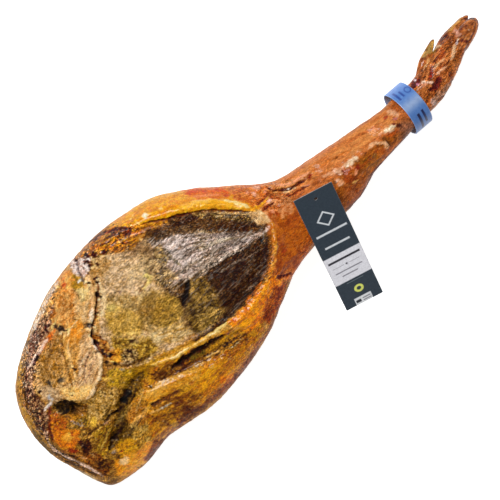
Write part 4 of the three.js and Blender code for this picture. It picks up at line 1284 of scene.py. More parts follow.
def paint_rim(skin):
    """The cut edge of the rind along the left and the bottom: gold outside, then dark specks and pale fat,
    with painted highlights along it.
    """
    speckled_fat = [
        (30, 334), (44, 316), (52, 322), (44, 344), (36, 362), (33, 385), (40, 400), (48, 414), (48, 440),
        (38, 432), (28, 414), (24, 395), (25, 365),
    ]
    skin.field(speckled_fat, (206, 160, 122), (62, 26, 18), blotches(1.9, 191, 2.4), soft=3, gloss=0.5)
    dark_lower = [(27, 400), (36, 394), (44, 404), (47, 430), (40, 428), (31, 414)]
    skin.field(dark_lower, (52, 14, 8), (174, 132, 90), blotches(1.6, 192, 1.8), soft=3)
    dark_upper = [(30, 338), (36, 330), (40, 336), (36, 352), (30, 356)]
    skin.field(dark_upper, (80, 32, 14), (192, 156, 132), blotches(1.5, 193, 1.8), soft=2)
    # Painted highlights glinting along the cut edge
    white_edge_highlight = [(58, 280), (50, 294), (44, 306), (36, 322), (30, 336)]
    skin.stroke(white_edge_highlight, 2.6, (248, 234, 226), (226, 176, 124), blotches(1.8, 194, 1.6), gloss=0.6)
    inner_edge = [(54, 304), (50, 312), (46, 320), (40, 332)]
    skin.stroke(inner_edge, 1.6, (116, 64, 32), (214, 176, 138), blotches(1.5, 195, 1.5))
    tan_edge = [(28, 342), (23, 356), (20, 372)]
    skin.stroke(tan_edge, 2.2, (206, 178, 150), (148, 98, 60), blotches(1.8, 196, 1.5))
    golden_rind = [(21, 358), (18, 375), (18, 392), (21, 406), (28, 421), (37, 436)]
    skin.stroke(golden_rind, 3, (208, 158, 60), (168, 110, 24), blotches(4, 197), soft=2, gloss=0.6)
    rind_shade = [(25, 366), (24, 380), (25, 396), (30, 411), (38, 426), (46, 440)]
    skin.stroke(rind_shade, 1.1, (106, 70, 24), soft=1.2)
    olive_rind = [(32, 428), (39, 438), (46, 448), (54, 454)]
    skin.stroke(olive_rind, 2.2, (108, 78, 22), soft=2)
    pale_ridge = [(48, 338), (41, 349), (36, 357), (31, 364), (28, 370)]
    skin.stroke(pale_ridge, 1.5, (248, 214, 190), rise=0.7, gloss=0.8)
    dark_gap = [(39, 353), (36, 360), (33, 366)]
    skin.stroke(dark_gap, 1.3, (64, 44, 44))
    white_tip = [(52, 401), (48, 406), (44, 411)]
    skin.stroke(white_tip, 1.4, (246, 232, 222), rise=0.4, gloss=0.8)
    # A painted glint
    grey_glint = (48.5, 398)
    skin.spot(grey_glint, (2, 2.6), (176, 172, 172), 40)
    dark_spot = (47.5, 401)
    skin.spot(dark_spot, (1, 1), (60, 50, 48))
    lower_rind = [(50, 448), (62, 455), (78, 462), (92, 470), (103, 477)]
    skin.stroke(lower_rind, 3.4, (134, 96, 58), (88, 52, 22), fibres(-28, 10, 1.4, 198, 1.4), soft=2)
    lower_shade = [(52, 451), (66, 460), (82, 468), (98, 477)]
    skin.stroke(lower_shade, 1, (84, 54, 24), soft=1)
    lower_ridge = [(46, 436), (52, 447), (64, 455), (78, 462), (92, 469), (104, 478)]
    skin.stroke(lower_ridge, 1.1, (226, 190, 170), rise=0.6, gloss=0.8)
    # A pale line of painted highlight along the lower edge
    lower_edge = [(56, 459), (70, 467), (84, 474), (98, 481)]
    skin.stroke(lower_edge, 1.5, (196, 168, 122), soft=1.5)
    tip = [(98, 480), (108, 484), (118, 480)]
    skin.stroke(tip, 2, (120, 80, 40))


def paint_claw(skin):
    """Horn all round, with what the photograph shows of the foot on its upper side."""
    horn, dark = np.array([176, 112, 56.0]), np.array([116, 62, 28.0])
    skin.colour[:] = horn + blotches(4, 221, 1.3)(skin.spots)[:, None] * (dark - horn)
    skin.gloss[:] = 0.5
    skin.grit[:] = 0.7
    paint_trotter(skin)


# Grit, gloss, strand and outline of each region
TEXTURES = {
    "leg": (0.32, 0.62, 0.03, [
        (262, 186), (338, 138), (420, 60), (484, 8), (480, 60), (430, 116), (368, 196), (300, 250),
        (262, 250),
    ]),
    "neck": (0.24, 0.5, 0.02, [(262, 204), (300, 200), (300, 270), (262, 270)]),
    "trotter": (0.6, 0.8, 0.03, [(408, 84), (450, 20), (482, 10), (476, 60), (432, 114)]),
    "upper collar": (0.35, 0.75, 0.02, [
        (112, 223), (150, 198), (232, 185), (262, 182), (262, 212), (205, 209), (150, 222),
    ]),
    "red shoulder": (0.6, 0.75, 0.02, [
        (232, 186), (262, 182), (300, 178), (304, 190), (276, 212), (256, 210),
    ]),
    "muscle": (1.1, 0.34, 0.45, [
        (140, 246), (176, 218), (250, 212), (271, 246), (252, 298), (200, 338), (150, 272),
    ]),
    "membrane": (0.6, 0.4, 0.7, [
        (148, 240), (165, 232), (200, 230), (262, 230), (267, 235), (230, 254), (205, 268), (186, 284),
        (172, 284), (158, 262),
    ]),
    "dark right of the muscle": (0.6, 0.34, 0.2, [
        (222, 264), (256, 248), (276, 240), (274, 268), (258, 298), (238, 316), (222, 312), (210, 290),
    ]),
    "olive foot of the muscle": (0.6, 0.36, 0.25, [
        (184, 282), (206, 276), (220, 298), (216, 322), (198, 338), (182, 322),
    ]),
    "dark top of the muscle": (0.75, 0.36, 0.2, [
        (150, 236), (190, 217), (262, 219), (264, 228), (204, 229), (160, 243),
    ]),
    "middle": (0.5, 0.34, 0.05, [
        (92, 258), (146, 240), (160, 250), (156, 284), (184, 300), (196, 330), (138, 366), (99, 346),
    ]),
    "hip plate": (0.55, 0.46, 0.03, [
        (54, 278), (92, 256), (100, 320), (101, 372), (66, 406), (34, 384), (34, 350),
    ]),
    "rim": (1.5, 0.5, 0.02, [
        (20, 340), (58, 276), (60, 290), (40, 340), (34, 400), (60, 450), (104, 478), (60, 462),
        (20, 400),
    ]),
    "shoulder": (1.0, 0.62, 0.1, [(74, 258), (112, 222), (142, 224), (128, 250), (88, 260)]),
    "fat folds": (0.45, 0.68, 0.06, [(150, 366), (264, 322), (224, 390), (150, 440)]),
    "butt": (0.55, 0.55, 0.03, [(44, 402), (104, 382), (150, 372), (150, 440), (110, 482), (50, 440)]),
}


def paint_textures(skin):
    """How gritty, how wet and how stringy each region is."""
    for grit, gloss, strand, outline in TEXTURES.values():
        skin.texture(outline, grit, gloss, strand)


def paint_tones(skin):
    """Soft shades that lie over several regions, and long streaks that follow the fat and the hip."""
    dark_muscle = (234, 227)
    skin.spot(dark_muscle, (14, 7), (58, 34, 18), soft=1.3, strength=0.5)
    dull_hollow = (152, 310)
    skin.spot(dull_hollow, (14, 12), (116, 80, 26), soft=1.3, strength=0.45)
    top_of_middle = (138, 249)
    skin.spot(top_of_middle, (18, 7), (112, 70, 32), soft=1.3, strength=0.45)
    membrane_end = (208, 263)
    skin.spot(membrane_end, (12, 6), (176, 150, 122), 42, soft=1.3, strength=0.45)
    fat_shade = (238, 352)
    skin.spot(fat_shade, (20, 7), (120, 68, 8), 42, soft=1.3, strength=0.35)
    band_shade = (411, 130)
    skin.spot(band_shade, (12, 12), (84, 70, 78), soft=1.3, strength=0.5)
    socket_wall = (74, 416)
    skin.spot(socket_wall, (9, 4), (188, 120, 46), soft=1.3, strength=0.55)
    valley_left = (122, 385)
    skin.spot(valley_left, (4, 9), (174, 130, 62), soft=1.3, strength=0.5)
    valley_right = (138, 389)
    skin.spot(valley_right, (4, 8), (166, 120, 46), soft=1.3, strength=0.5)
    streaks = (
        ([(142, 402), (156, 388), (172, 380)], 3, (228, 178, 92)),
        ([(148, 412), (164, 398), (186, 386)], 2.4, (146, 88, 22)),
        ([(176, 396), (196, 384), (216, 366)], 2.6, (214, 156, 54)),
        ([(186, 404), (206, 390), (226, 368)], 2, (150, 88, 16)),
        ([(206, 352), (224, 340), (244, 328)], 2.2, (226, 168, 62)),
        ([(212, 360), (232, 350), (248, 336)], 1.8, (138, 78, 10)),
        ([(116, 424), (124, 414), (132, 404)], 2.4, (196, 160, 96)),
        ([(130, 428), (140, 416), (150, 406)], 2.4, (232, 186, 104)),
        ([(134, 446), (144, 436), (154, 424)], 2, (168, 110, 40)),
        ([(84, 372), (92, 362), (98, 350)], 1.6, (226, 188, 140)),
        ([(60, 388), (66, 376), (70, 362)], 1.6, (206, 168, 112)),
        ([(46, 372), (50, 356), (56, 340)], 1.4, (118, 72, 24)),
        ([(78, 318), (84, 306), (88, 292)], 1.8, (214, 156, 84)),
        ([(84, 330), (88, 316), (90, 300)], 1.4, (150, 92, 38)),
        ([(114, 300), (124, 290), (138, 280)], 2, (222, 186, 140)),
        ([(112, 318), (126, 308), (142, 300)], 2, (182, 146, 88)),
        ([(126, 348), (140, 340), (156, 336)], 2, (204, 164, 92)),
    )
    for points, width, colour in streaks:
        skin.stroke(points, width, colour, strength=0.55)


def paint_ham(skin, under):
    paint_rind(skin, under)
    paint_textures(skin)
    paint_leg(skin)
    paint_leg_marks(skin)
    paint_hip(skin)
    paint_hip_lines(skin)
    paint_butt(skin)
    paint_socket(skin)
    paint_valley(skin)
    paint_butt_pits(skin)
    paint_middle(skin)
    paint_muscle(skin)
    paint_sinews(skin)
    paint_muscle_edges(skin)
    paint_shoulder(skin)
    paint_fat_folds(skin)
    paint_fat_ridges(skin)
    paint_fat_foot(skin)
    paint_collar(skin)
    paint_lower_collar(skin)
    paint_crack(skin)
    paint_rim(skin)
    paint_neck_folds(skin)
    paint_trotter(skin)
    paint_tones(skin)


# The ham's mesh

def large_relief(x, y):
    """Height of the large forms, the same as in the solid."""
    places = np.stack([x, y], axis=1)
    height = np.zeros(len(x))
    for rise, width, line in FORMS.values():
        distance, _, _ = from_line(places, smooth_line(line))
        height += rise * np.exp(-((distance / width) ** 2))
    for rise, edge, fade, line in STEPS.values():
        distance, _, side = from_line(places, smooth_line(line))
        height += rise * np.where(side < 0, smooth(distance / edge) * np.exp(-distance / fade), 0)
    for rise, radius, place in BUMPS.values():
        height += rise * np.exp(-((np.hypot(x - place[0], y - place[1]) / radius) ** 2))
    return height


def ring_places():
    """Where along the ham its rings lie, close together at the rounded ends."""
    quarter = math.pi / 2
    butt = BUTT_ROUNDING * (1 - np.cos(quarter * np.arange(1, BUTT_RINGS + 1) / BUTT_RINGS))
    body = np.arange(BUTT_ROUNDING + BODY_STEP, LEG_START, BODY_STEP)
    start = TROTTER_END - TROTTER_ROUNDING
    leg = np.arange(body[-1] + LEG_STEP, start, LEG_STEP)
    turns = np.sin(quarter * np.arange(TROTTER_RINGS) / TROTTER_RINGS)
    return np.concatenate([butt, body, leg, TROTTER_END - TROTTER_ROUNDING * (1 - turns)])


def ham_points():
    """Points of the ham's rings: how far each faces up and lies under the rim, how close they are, and how
    many make a ring."""
    facets = TOP_FACETS + UNDER_FACETS
    j = np.arange(facets)
    over = j < TOP_FACETS
    share = np.where(over, j / TOP_FACETS, (j - TOP_FACETS) / UNDER_FACETS)
    across = (0.7 * (1 - 2 * share) + 0.3 * np.cos(math.pi * share)) * np.where(over, 1, -1)
    power = np.where(over, TOP_SQUARENESS, UNDER_SQUARENESS)
    lift = (1 - np.abs(across) ** power) ** (1 / power)
    rings = ring_places()
    x = np.repeat(rings, facets)
    over, across, lift = (np.tile(values, len(rings)) for values in (over, across, lift))
    butt, trotter = clamp01(x / BUTT_ROUNDING), clamp01((TROTTER_END - x) / TROTTER_ROUNDING)
    rounding = np.sqrt(1 - (1 - butt) ** 2) * np.sqrt(1 - (1 - trotter) ** 2)
    narrowing = np.where(x > TROTTER_END - TROTTER_ROUNDING, rounding, 1)
    left, right, top, under = left_at(x), right_at(x), top_at(x), under_at(x)
    y = (left + right) / 2 + across * narrowing * (left - right) / 2
    rim = under + RIM_SHARE * (top - under)
    relief = large_relief(x, y) * smooth((lift - 0.3) / 0.5) * rounding
    upper = rim + rounding * lift * (top - rim) + relief
    lower = np.maximum(0, rim - rounding * lift * (rim - under))
    points = np.stack([x, y, np.where(over, upper, lower)], axis=1)
    facing = np.where(over, 1.0, clamp01(1 - (rim - lower) / RIM_FADE))
    below = np.where(over, 0.0, clamp01((rim - lower) / RIM_FADE))
    closeness = np.where(over, smooth((lift - 0.1) / 0.4), 0.1)
    return points, facing, below, closeness, facets


def end_point(x):
    rim = under_at(x) + RIM_SHARE * (top_at(x) - under_at(x))
    return [float(x), float((left_at(x) + right_at(x)) / 2), float(rim)]


def loft_faces(ring_count, facets):
    """Faces over rings of points, with a single point before the first ring and one after the last."""
    j = np.arange(facets)
    after = (j + 1) % facets
    first = [(0, 1 + b, 1 + a) for a, b in zip(j, after)]
    faces = []
    for i in range(ring_count - 1):
        start = 1 + i * facets
        faces.extend(zip(start + j, start + after, start + facets + after, start + facets + j))
    end = 1 + (ring_count - 1) * facets
    last = [(end + a, end + b, end + facets) for a, b in zip(j, after)]
    return first + faces + last


def new_mesh(name, points, faces, material):
    """A smooth-shaded mesh object of points in the drawing frame."""
    mesh = bpy.data.meshes.new(name)
    corners = in_row_frame(np.asarray(points, float)).tolist()
    mesh.from_pydata(corners, [], [tuple(map(int, face)) for face in faces])
    mesh.validate()
    mesh.shade_smooth()
    mesh.materials.append(material)
    piece = bpy.data.objects.new(name, mesh)
    bpy.context.scene.collection.objects.link(piece)
    return piece


def to_linear(colour):
    """Light from 0 to 1 for usual colours from 0 to 255."""
    share = clamp01(np.asarray(colour, float) / 255)
    return np.where(share <= 0.04045, share / 12.92, ((share + 0.055) / 1.055) ** 2.4)


def light_on(normals):
    """How bright a white surface is that faces along each normal."""
    lamp = LAMP_PLACE / np.linalg.norm(LAMP_PLACE)
    upward = normals[:, 2]
    level = SKY + LAMP_LIGHT * lamp[2]
    floor = FLOOR_GLOW + FLOOR_ALBEDO * level
    light = SKY * (1 + upward) / 2 + floor * (1 - upward) / 2 + LAMP_LIGHT * np.maximum(normals @ lamp, 0)
    return level * (light / level) ** SHADING_HELD


def normals_of(piece):
    """The smooth normal at each of a mesh's points."""
    normals = np.zeros(len(piece.data.vertices) * 3, np.float32)
    piece.data.vertex_normals.foreach_get("vector", normals)
    return normals.reshape(-1, 3)


def write_paint(mesh, colour, light, gloss, grit, strand):
    """Stores the surface's own colour, its gloss, its grit and its strands on the mesh's points."""
    seen = to_linear(colour)
    haze = np.broadcast_to(DRY_HAZE + WET_HAZE * gloss, len(seen))[:, None]
    own = clamp01(np.maximum(seen - haze, DARKEST_SHARE * seen) / light[:, None])
    shades = np.column_stack([own, np.ones(len(own))]).astype(np.float32)
    mesh.color_attributes.new("paint", "FLOAT_COLOR", "POINT").data.foreach_set("color", shades.ravel())
    for name, values in (("gloss", gloss), ("grit", grit), ("strand", strand)):
        values = np.broadcast_to(values, len(own)).astype(np.float32)
        mesh.attributes.new(name, "FLOAT", "POINT").data.foreach_set("value", values)


def stand_for(piece, node):
    """Hides the solid that a piece is drawn in place of, and makes the piece ride on the one body."""
    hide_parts(node)
    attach(piece, "root")


def raise_surface(piece, points, height):
    """Moves a mesh's points out along its normals by `height` millimetres, not below the floor."""
    raised = points + normals_of(piece) * height[:, None]
    raised[:, 2] = np.maximum(raised[:, 2], 0)
    piece.data.vertices.foreach_set("co", in_row_frame(raised).astype(np.float32).ravel())
    piece.data.update()


def make_ham(material):
    """The whole ham without its claws: the solid's form, painted and with its fine relief."""
    points, facing, below, closeness, facets = ham_points()
    ring_count = len(points) // facets
    points = np.vstack([end_point(0), points, end_point(TROTTER_END)])
    facing = np.concatenate([[1], facing, [1]])
    below = np.concatenate([[0], below, [0]])
    skin = Skin(points, facing)
    paint_ham(skin, below)
    skin.roughen(np.concatenate([[0], closeness, [0]]))
    under_band = (points[:, 0] > BAND_STRETCH[0]) & (points[:, 0] < BAND_STRETCH[1])
    skin.height[under_band] = np.minimum(skin.height[under_band], 0)
    skin.gloss *= clamp01(BLACK_GLOSS + skin.colour.mean(axis=1) / GLOSS_BRIGHTNESS)
    piece = new_mesh("cured_ham", points, loft_faces(ring_count, facets), material)
    light = light_on(normals_of(piece))
    raise_surface(piece, points, skin.height)
    write_paint(piece.data, skin.colour, light, skin.gloss, skin.grit, skin.strand)
    stand_for(piece, "ham")


CLAW_RINGS = 40
CLAW_FACETS = 60


def make_claw(name, material):
    """A horn claw whose rings shrink along a line that bows upwards, narrower at its root inside the foot."""
    root, tip, across, deep, bend, blunt = CLAWS[name]
    start, end = np.array(root, float), np.array(tip, float)
    along = (end - start) / np.linalg.norm(end - start)
    sideways = np.cross([0, 0, 1], along)
    sideways /= np.linalg.norm(sideways)
    upward = np.cross(along, sideways)
    t = np.repeat(np.sin(math.pi / 2 * np.arange(1, CLAW_RINGS) / CLAW_RINGS), CLAW_FACETS)
    angle = np.tile(2 * math.pi * np.arange(CLAW_FACETS) / CLAW_FACETS, CLAW_RINGS - 1)
    size = (CLAW_ROOT_SIZE + (1 - CLAW_ROOT_SIZE) * smooth(t / CLAW_ROOT_LENGTH)) * np.sqrt(1 - t**blunt)
    points = (
        start + np.outer(t, end - start) + np.outer(bend * np.sin(math.pi * t), upward)
        + np.outer(across * size * np.cos(angle), sideways) + np.outer(deep * size * np.sin(angle), upward)
    )
    points = np.vstack([start, points, end])
    facing = np.concatenate([[0], smooth(0.5 + 1.2 * np.sin(angle)), [1]])
    skin = Skin(points, facing)
    paint_claw(skin)
    skin.roughen()
    piece = new_mesh(name, points, loft_faces(CLAW_RINGS - 1, CLAW_FACETS), material)
    light = light_on(normals_of(piece))
    raise_surface(piece, points, skin.height)
    write_paint(piece.data, skin.colour, light, skin.gloss, skin.grit, skin.strand)
    stand_for(piece, "ham")


# The band and the tag. Their print is plain bars and rings, placed in millimetres on the flat sheet.

def inside_box(places, middle, size):
    """How deep each place lies inside an upright rectangle."""
    return np.min(np.asarray(size) / 2 - np.abs(places - np.asarray(middle)), axis=1)


def inside_ring(places, middle, outer, inner):
    reach = np.hypot(*(places - np.asarray(middle)).T)
    return np.minimum(outer - reach, reach - inner)


def inside_diamond(places, middle, outer, inner):
    reach = np.abs(places - np.asarray(middle)).sum(axis=1)
    return np.minimum(outer - reach, reach - inner) / math.sqrt(2)


def print_on(colour, depth, ink, strength=1.0, soft=0.7):
    """Inks the places that lie inside a shape, whose edge fades over `soft` millimetres."""
    colour += (strength * smooth(0.5 + depth / soft))[:, None] * (np.asarray(ink, float) - colour)


BAND_LOOP_STEPS = 150
BAND_WIDTH_STEPS = 44
# Width of the small flat between the strip's faces and its edges, in millimetres
BAND_CORNER = 0.3
BAND_BLUE = np.array([92.0, 134.0, 202.0])
# The painted highlight along the crest: the colour it adds, its middle and its width, in millimetres
BAND_SHINE = np.array([62.0, 44.0, 18.0])
BAND_SHINE_MIDDLE = 1
BAND_SHINE_WIDTH = 7
BAND_UNEVENNESS = np.array([5.0, 5.0, 4.0])
BAND_EDGE_BLUE = (150, 184, 236)
BAND_EDGE_WIDTH = 0.8
BAND_INSIDE = (186, 190, 222)
BAND_INK = (52, 78, 150)
# Middle, size and ink of the band's printed bars, in millimetres along the leg and across it
BAND_BARS = [
    ((-1, 18.5), (2.6, 9), BAND_INK), ((-7.5, 19.5), (3, 13), BAND_INK),
    ((4.6, -20), (3.2, 15), (26, 38, 78)), ((-2.6, -22), (3.6, 17), (22, 32, 66)),
]
# Middle, outer and inner radius
BAND_RING = ((8.4, 18), 4.4, 3.1)
# A depth far outside every printed shape
NO_INK = -9


def band_outline(step_count):
    """Points of the loop with their outward normals, in millimetres across and up, and their way round it."""
    radius = (BAND_HALF_WIDTH**2 + BAND_BULGE**2) / (2 * BAND_BULGE)
    reach = math.asin(BAND_HALF_WIDTH / radius)
    angle = reach * (1 - 2 * (np.arange(step_count) + 0.5) / step_count)
    faces = []
    for face in (1, -1):
        across, up = np.sin(angle) * face, np.cos(angle) * face
        points = np.stack([radius * across, radius * up - face * (radius - BAND_BULGE)], axis=1)
        faces.append((points, np.stack([across, up], axis=1), np.full(step_count, face)))
    return (np.concatenate(part) for part in zip(*faces))


def band_profile():
    """The strip's cross-section: places along the leg, and how far each lies over its outer face."""
    half = BAND_HEIGHT / 2
    outer = np.linspace(-half + BAND_CORNER, half - BAND_CORNER, BAND_WIDTH_STEPS)
    profile = [(x, 0.0) for x in outer]
    profile += [(half, -BAND_CORNER), (half, BAND_CORNER - BAND_THICKNESS)]
    profile += [(x, -BAND_THICKNESS) for x in outer[::-4]]
    profile += [(-half, BAND_CORNER - BAND_THICKNESS), (-half, -BAND_CORNER)]
    return np.array(profile)


def band_colours(places, spots, printed, inner):
    """Blue with a painted highlight along the crest, pale edges and plain print, and the paler inside."""
    colour = np.tile(BAND_BLUE, (len(places), 1))
    shine = np.exp(-(((places[:, 1] - BAND_SHINE_MIDDLE) / BAND_SHINE_WIDTH) ** 2))
    colour += shine[:, None] * BAND_SHINE
    colour += noise(spots, 301)[:, None] * BAND_UNEVENNESS
    from_edge = BAND_HEIGHT / 2 - np.abs(places[:, 0])
    print_on(colour, np.where(printed, BAND_EDGE_WIDTH - from_edge, NO_INK), BAND_EDGE_BLUE, 0.6)
    for middle, size, ink in BAND_BARS:
        print_on(colour, np.where(printed, inside_box(places, middle, size), NO_INK), ink, 0.85)
    print_on(colour, np.where(printed, inside_ring(places, *BAND_RING), NO_INK), BAND_INK, 0.8)
    colour[inner] = BAND_INSIDE
    return colour


def band_pose(along, flat):
    """Tilts and turns the loop on the shank, and moves it to the solid's place."""
    x = along * math.cos(BAND_TILT) + flat[:, 1] * math.sin(BAND_TILT)
    z = flat[:, 1] * math.cos(BAND_TILT) - along * math.sin(BAND_TILT)
    y = flat[:, 0]
    turned_x = x * math.cos(BAND_TURN) - y * math.sin(BAND_TURN)
    turned_y = x * math.sin(BAND_TURN) + y * math.cos(BAND_TURN)
    points = np.stack([turned_x, turned_y, z], axis=1)
    low, high = (np.array(corner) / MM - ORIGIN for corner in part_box("band"))
    return points + ((low + high) / 2 - (points.min(axis=0) + points.max(axis=0)) / 2)


def make_band(material):
    """The plastic strip as a closed loop of small faces."""
    loop, normals, faces = band_outline(BAND_LOOP_STEPS)
    profile = band_profile()
    count = len(profile)
    along = np.tile(profile[:, 0], len(loop))
    sunk = np.tile(profile[:, 1], len(loop))
    flat = np.repeat(loop, count, axis=0) + np.repeat(normals, count, axis=0) * sunk[:, None]
    places = np.stack([along, np.repeat(loop[:, 0], count)], axis=1)
    inner = sunk <= -BAND_THICKNESS
    printed = (np.repeat(faces, count) > 0) & ~inner
    colour = band_colours(places, np.column_stack([along, flat]) / 3, printed, inner)
    quads = []
    for i in range(len(loop)):
        here, there = i * count, (i + 1) % len(loop) * count
        for j in range(count):
            after = (j + 1) % count
            quads.append((here + j, here + after, there + after, there + j))
    piece = new_mesh("shank_band", band_pose(along, flat), quads, material)
    write_paint(piece.data, colour, light_on(normals_of(piece)), gloss=0.6, grit=0.2, strand=0)
    stand_for(piece, "band")


TAG_CELLS = 80
HOLE_CELLS = 6

TAG_SLATE = np.array([57.0, 66.0, 75.0])
TAG_BACK = np.array([186.0, 184.0, 178.0])
TAG_WORN_EDGE = (120, 128, 134)
# Middle, size and ink of the printed boxes, in millimetres to the right of the middle and down from the top
TAG_BOXES = [
    ((0, 127.3), (60, 47), (230, 229, 235)), ((0, 113.6), (44, 3.4), (58, 56, 62)),
    ((-11.5, 124), (16, 0.6), (140, 138, 146)), ((10.5, 124), (14, 0.6), (140, 138, 146)),
    ((0, 133), (37, 1.7), (128, 126, 134)), ((-1, 140.6), (22, 1.7), (128, 126, 134)),
    ((0.5, 67), (42, 3.2), (214, 218, 222)), ((0.5, 88.4), (34, 3.2), (214, 218, 222)),
    ((0.5, 154.6), (23, 0.7), (124, 134, 138)),
    ((0.4, 189.4), (23.6, 12.4), (222, 224, 226)), ((-6.5, 189.5), (7, 4.6), (52, 54, 60)),
    ((5.2, 187.6), (11, 1.6), (130, 130, 136)), ((5.2, 191.4), (11, 1.6), (130, 130, 136)),
]


def tag_length():
    return float(np.hypot(*(TAG_HEAD - TAG_FOOT)) / math.cos(TAG_LEAN))


def tag_grid(length):
    """The card's grid: places across, places down, and the first row of the square round the hole."""
    step = TAG_WIDTH / TAG_CELLS
    across = np.linspace(-TAG_WIDTH / 2, TAG_WIDTH / 2, TAG_CELLS + 1)
    first_row = round(TAG_HOLE_FROM_TOP / step) - HOLE_CELLS
    beside_hole = TAG_HOLE_FROM_TOP + step * np.arange(-HOLE_CELLS, HOLE_CELLS + 1)
    above = np.linspace(0, beside_hole[0], first_row + 1)[:-1]
    below = np.linspace(TAG_HOLE_FROM_TOP + step * HOLE_CELLS, length, round(length / step))[1:]
    return across, np.concatenate([above, beside_hole, below]), first_row


def hole_square(first_row, columns):
    """The grid's points on the square round the hole, in order."""
    last_row = first_row + 2 * HOLE_CELLS
    left, right = TAG_CELLS // 2 - HOLE_CELLS, TAG_CELLS // 2 + HOLE_CELLS
    steps = range(2 * HOLE_CELLS)
    square = [(first_row, left + k) for k in steps]
    square += [(first_row + k, right) for k in steps]
    square += [(last_row, right - k) for k in steps]
    square += [(last_row - k, left) for k in steps]
    return [row * columns + column for row, column in square]


def hole_rings(corners):
    """Two rings of points for a square's corners: half way to the hole's edge, and on it."""
    centre = np.array([0, TAG_HOLE_FROM_TOP])
    rings = []
    for share in (0.5, 1.0):
        for corner in corners:
            offset = corner - centre
            edge = offset / np.hypot(*offset) * TAG_HOLE_RADIUS
            rings.append(centre + offset + share * (edge - offset))
    return rings


def grid_outline(rows, columns):
    """The grid's points along its edge, in order."""
    outline = list(range(columns))
    outline += [row * columns + columns - 1 for row in range(1, rows)]
    outline += [(rows - 1) * columns + column for column in range(columns - 2, -1, -1)]
    outline += [row * columns for row in range(rows - 2, 0, -1)]
    return outline


def tag_layout():
    """The card's points in millimetres from its top middle, its faces, its outline and its hole's edge."""
    length = tag_length()
    across, down, first_row = tag_grid(length)
    columns, rows = len(across), len(down)
    points = np.stack([np.tile(across, rows), np.repeat(down, columns)], axis=1)
    hole_rows = range(first_row, first_row + 2 * HOLE_CELLS)
    hole_columns = range(TAG_CELLS // 2 - HOLE_CELLS, TAG_CELLS // 2 + HOLE_CELLS)
    faces = []
    for row in range(rows - 1):
        for column in range(columns - 1):
            if not (row in hole_rows and column in hole_columns):
                corner = row * columns + column
                faces.append((corner, corner + columns, corner + columns + 1, corner + 1))
    square = hole_square(first_row, columns)
    count = len(square)
    middle_ring = [len(points) + k for k in range(count)]
    hole = [len(points) + count + k for k in range(count)]
    for before, after in ((square, middle_ring), (middle_ring, hole)):
        for k in range(count):
            near = (k + 1) % count
            faces.append((before[k], after[k], after[near], before[near]))
    points = np.vstack([points, hole_rings(points[square])])
    return round_corners(points, length), faces, grid_outline(rows, columns), hole


def round_corners(points, length):
    for x in (-1, 1):
        for y in (0, 1):
            centre = np.array([x * (TAG_WIDTH / 2 - TAG_CORNER), TAG_CORNER + y * (length - 2 * TAG_CORNER)])
            offset = points - centre
            outside = (offset[:, 0] * x > 0) & (offset[:, 1] * (2 * y - 1) > 0)
            reach = np.maximum(np.hypot(*offset.T), 1e-6)
            pull = np.where(outside & (reach > TAG_CORNER), TAG_CORNER / reach, 1)
            points = centre + offset * pull[:, None]
    return points


def tag_colours(flat):
    """The card's front: slate, with a pale panel, plain bars, a diamond and a ring."""
    colour = np.tile(TAG_SLATE, (len(flat), 1))
    for middle, size, ink in TAG_BOXES:
        print_on(colour, inside_box(flat, middle, size), ink)
    print_on(colour, inside_diamond(flat, (0.5, 45.5), 12.5, 9.5), (214, 218, 222))
    print_on(colour, inside_diamond(flat, (0, 124), 1.8, 0), (80, 78, 86))
    print_on(colour, inside_ring(flat, (0.7, 169.6), 6.4, 3), (222, 226, 112))
    border = TAG_WIDTH / 2 - np.abs(flat[:, 0])
    spots = np.column_stack([flat, np.zeros(len(flat))])
    print_on(colour, 0.35 - border + 0.25 * noise(spots / 3, 311), TAG_WORN_EDGE, 0.5)
    colour *= (1 + 0.035 * noise(spots / 1.6, 312))[:, None]
    return colour


def make_tag(material):
    """The card, slightly bowed, which leans on the leg."""
    flat, faces, outline, hole = tag_layout()
    length = tag_length()
    run = (TAG_HEAD - TAG_FOOT) / np.hypot(*(TAG_HEAD - TAG_FOOT))
    upward = np.array([*(run * math.cos(TAG_LEAN)), math.sin(TAG_LEAN)])
    sideways = np.array([run[1], -run[0], 0])
    outward = np.cross(sideways, upward)
    foot = np.array([*TAG_FOOT, 0])
    curl = TAG_CURL * np.sin(math.pi * clamp01(flat[:, 1] / length)) ** 2
    back = foot + np.outer(flat[:, 0], sideways) + np.outer(length - flat[:, 1], upward)
    back = back + np.outer(curl, outward)
    front = back + outward * TAG_THICKNESS
    count = len(flat)
    quads = list(faces) + [tuple(count + corner for corner in reversed(face)) for face in faces]
    for loop, order in ((outline, 1), (hole, -1)):
        for here, after in zip(loop, loop[1:] + loop[:1]):
            quads.append((here, after, count + after, count + here)[::order])
    piece = new_mesh("slate_tag", np.vstack([front, back]), quads, material)
    piece.data.shade_flat()
    colour = np.vstack([tag_colours(flat), np.tile(TAG_BACK, (count, 1))])
    light = light_on(np.vstack([np.tile(outward, (count, 1)), np.tile(-outward, (count, 1))]))
    write_paint(piece.data, colour, light, gloss=0.45, grit=0.15, strand=0)
    stand_for(piece, "tag")


# Materials

# Noise mostly lies between these, and that much of a grain's contrast is used for that stretch
NOISE_LOW = 0.33
NOISE_HIGH = 0.67
GRAIN_SPAN = 0.95
COAT_ROUGHNESS = 0.12
# The fibres drawn by the material: cells to a metre, and how much of that along the three axes
STRAND_CELLS = 1000
FURROW_STRETCH = (0.11, 0.75, 0.5)
SINEW_STRETCH = (0.045, 0.5, 0.3)
# The pale fibres' colour: pale sinew, partly a painted sheen on wet membrane
SINEW_AND_SHEEN_COLOUR = (0.6, 0.51, 0.42, 1)


def new_material(name):
    material = bpy.data.materials.new(name)
    material.use_nodes = True
    nodes = material.node_tree.nodes
    return material, nodes, material.node_tree.links, nodes["Principled BSDF"]


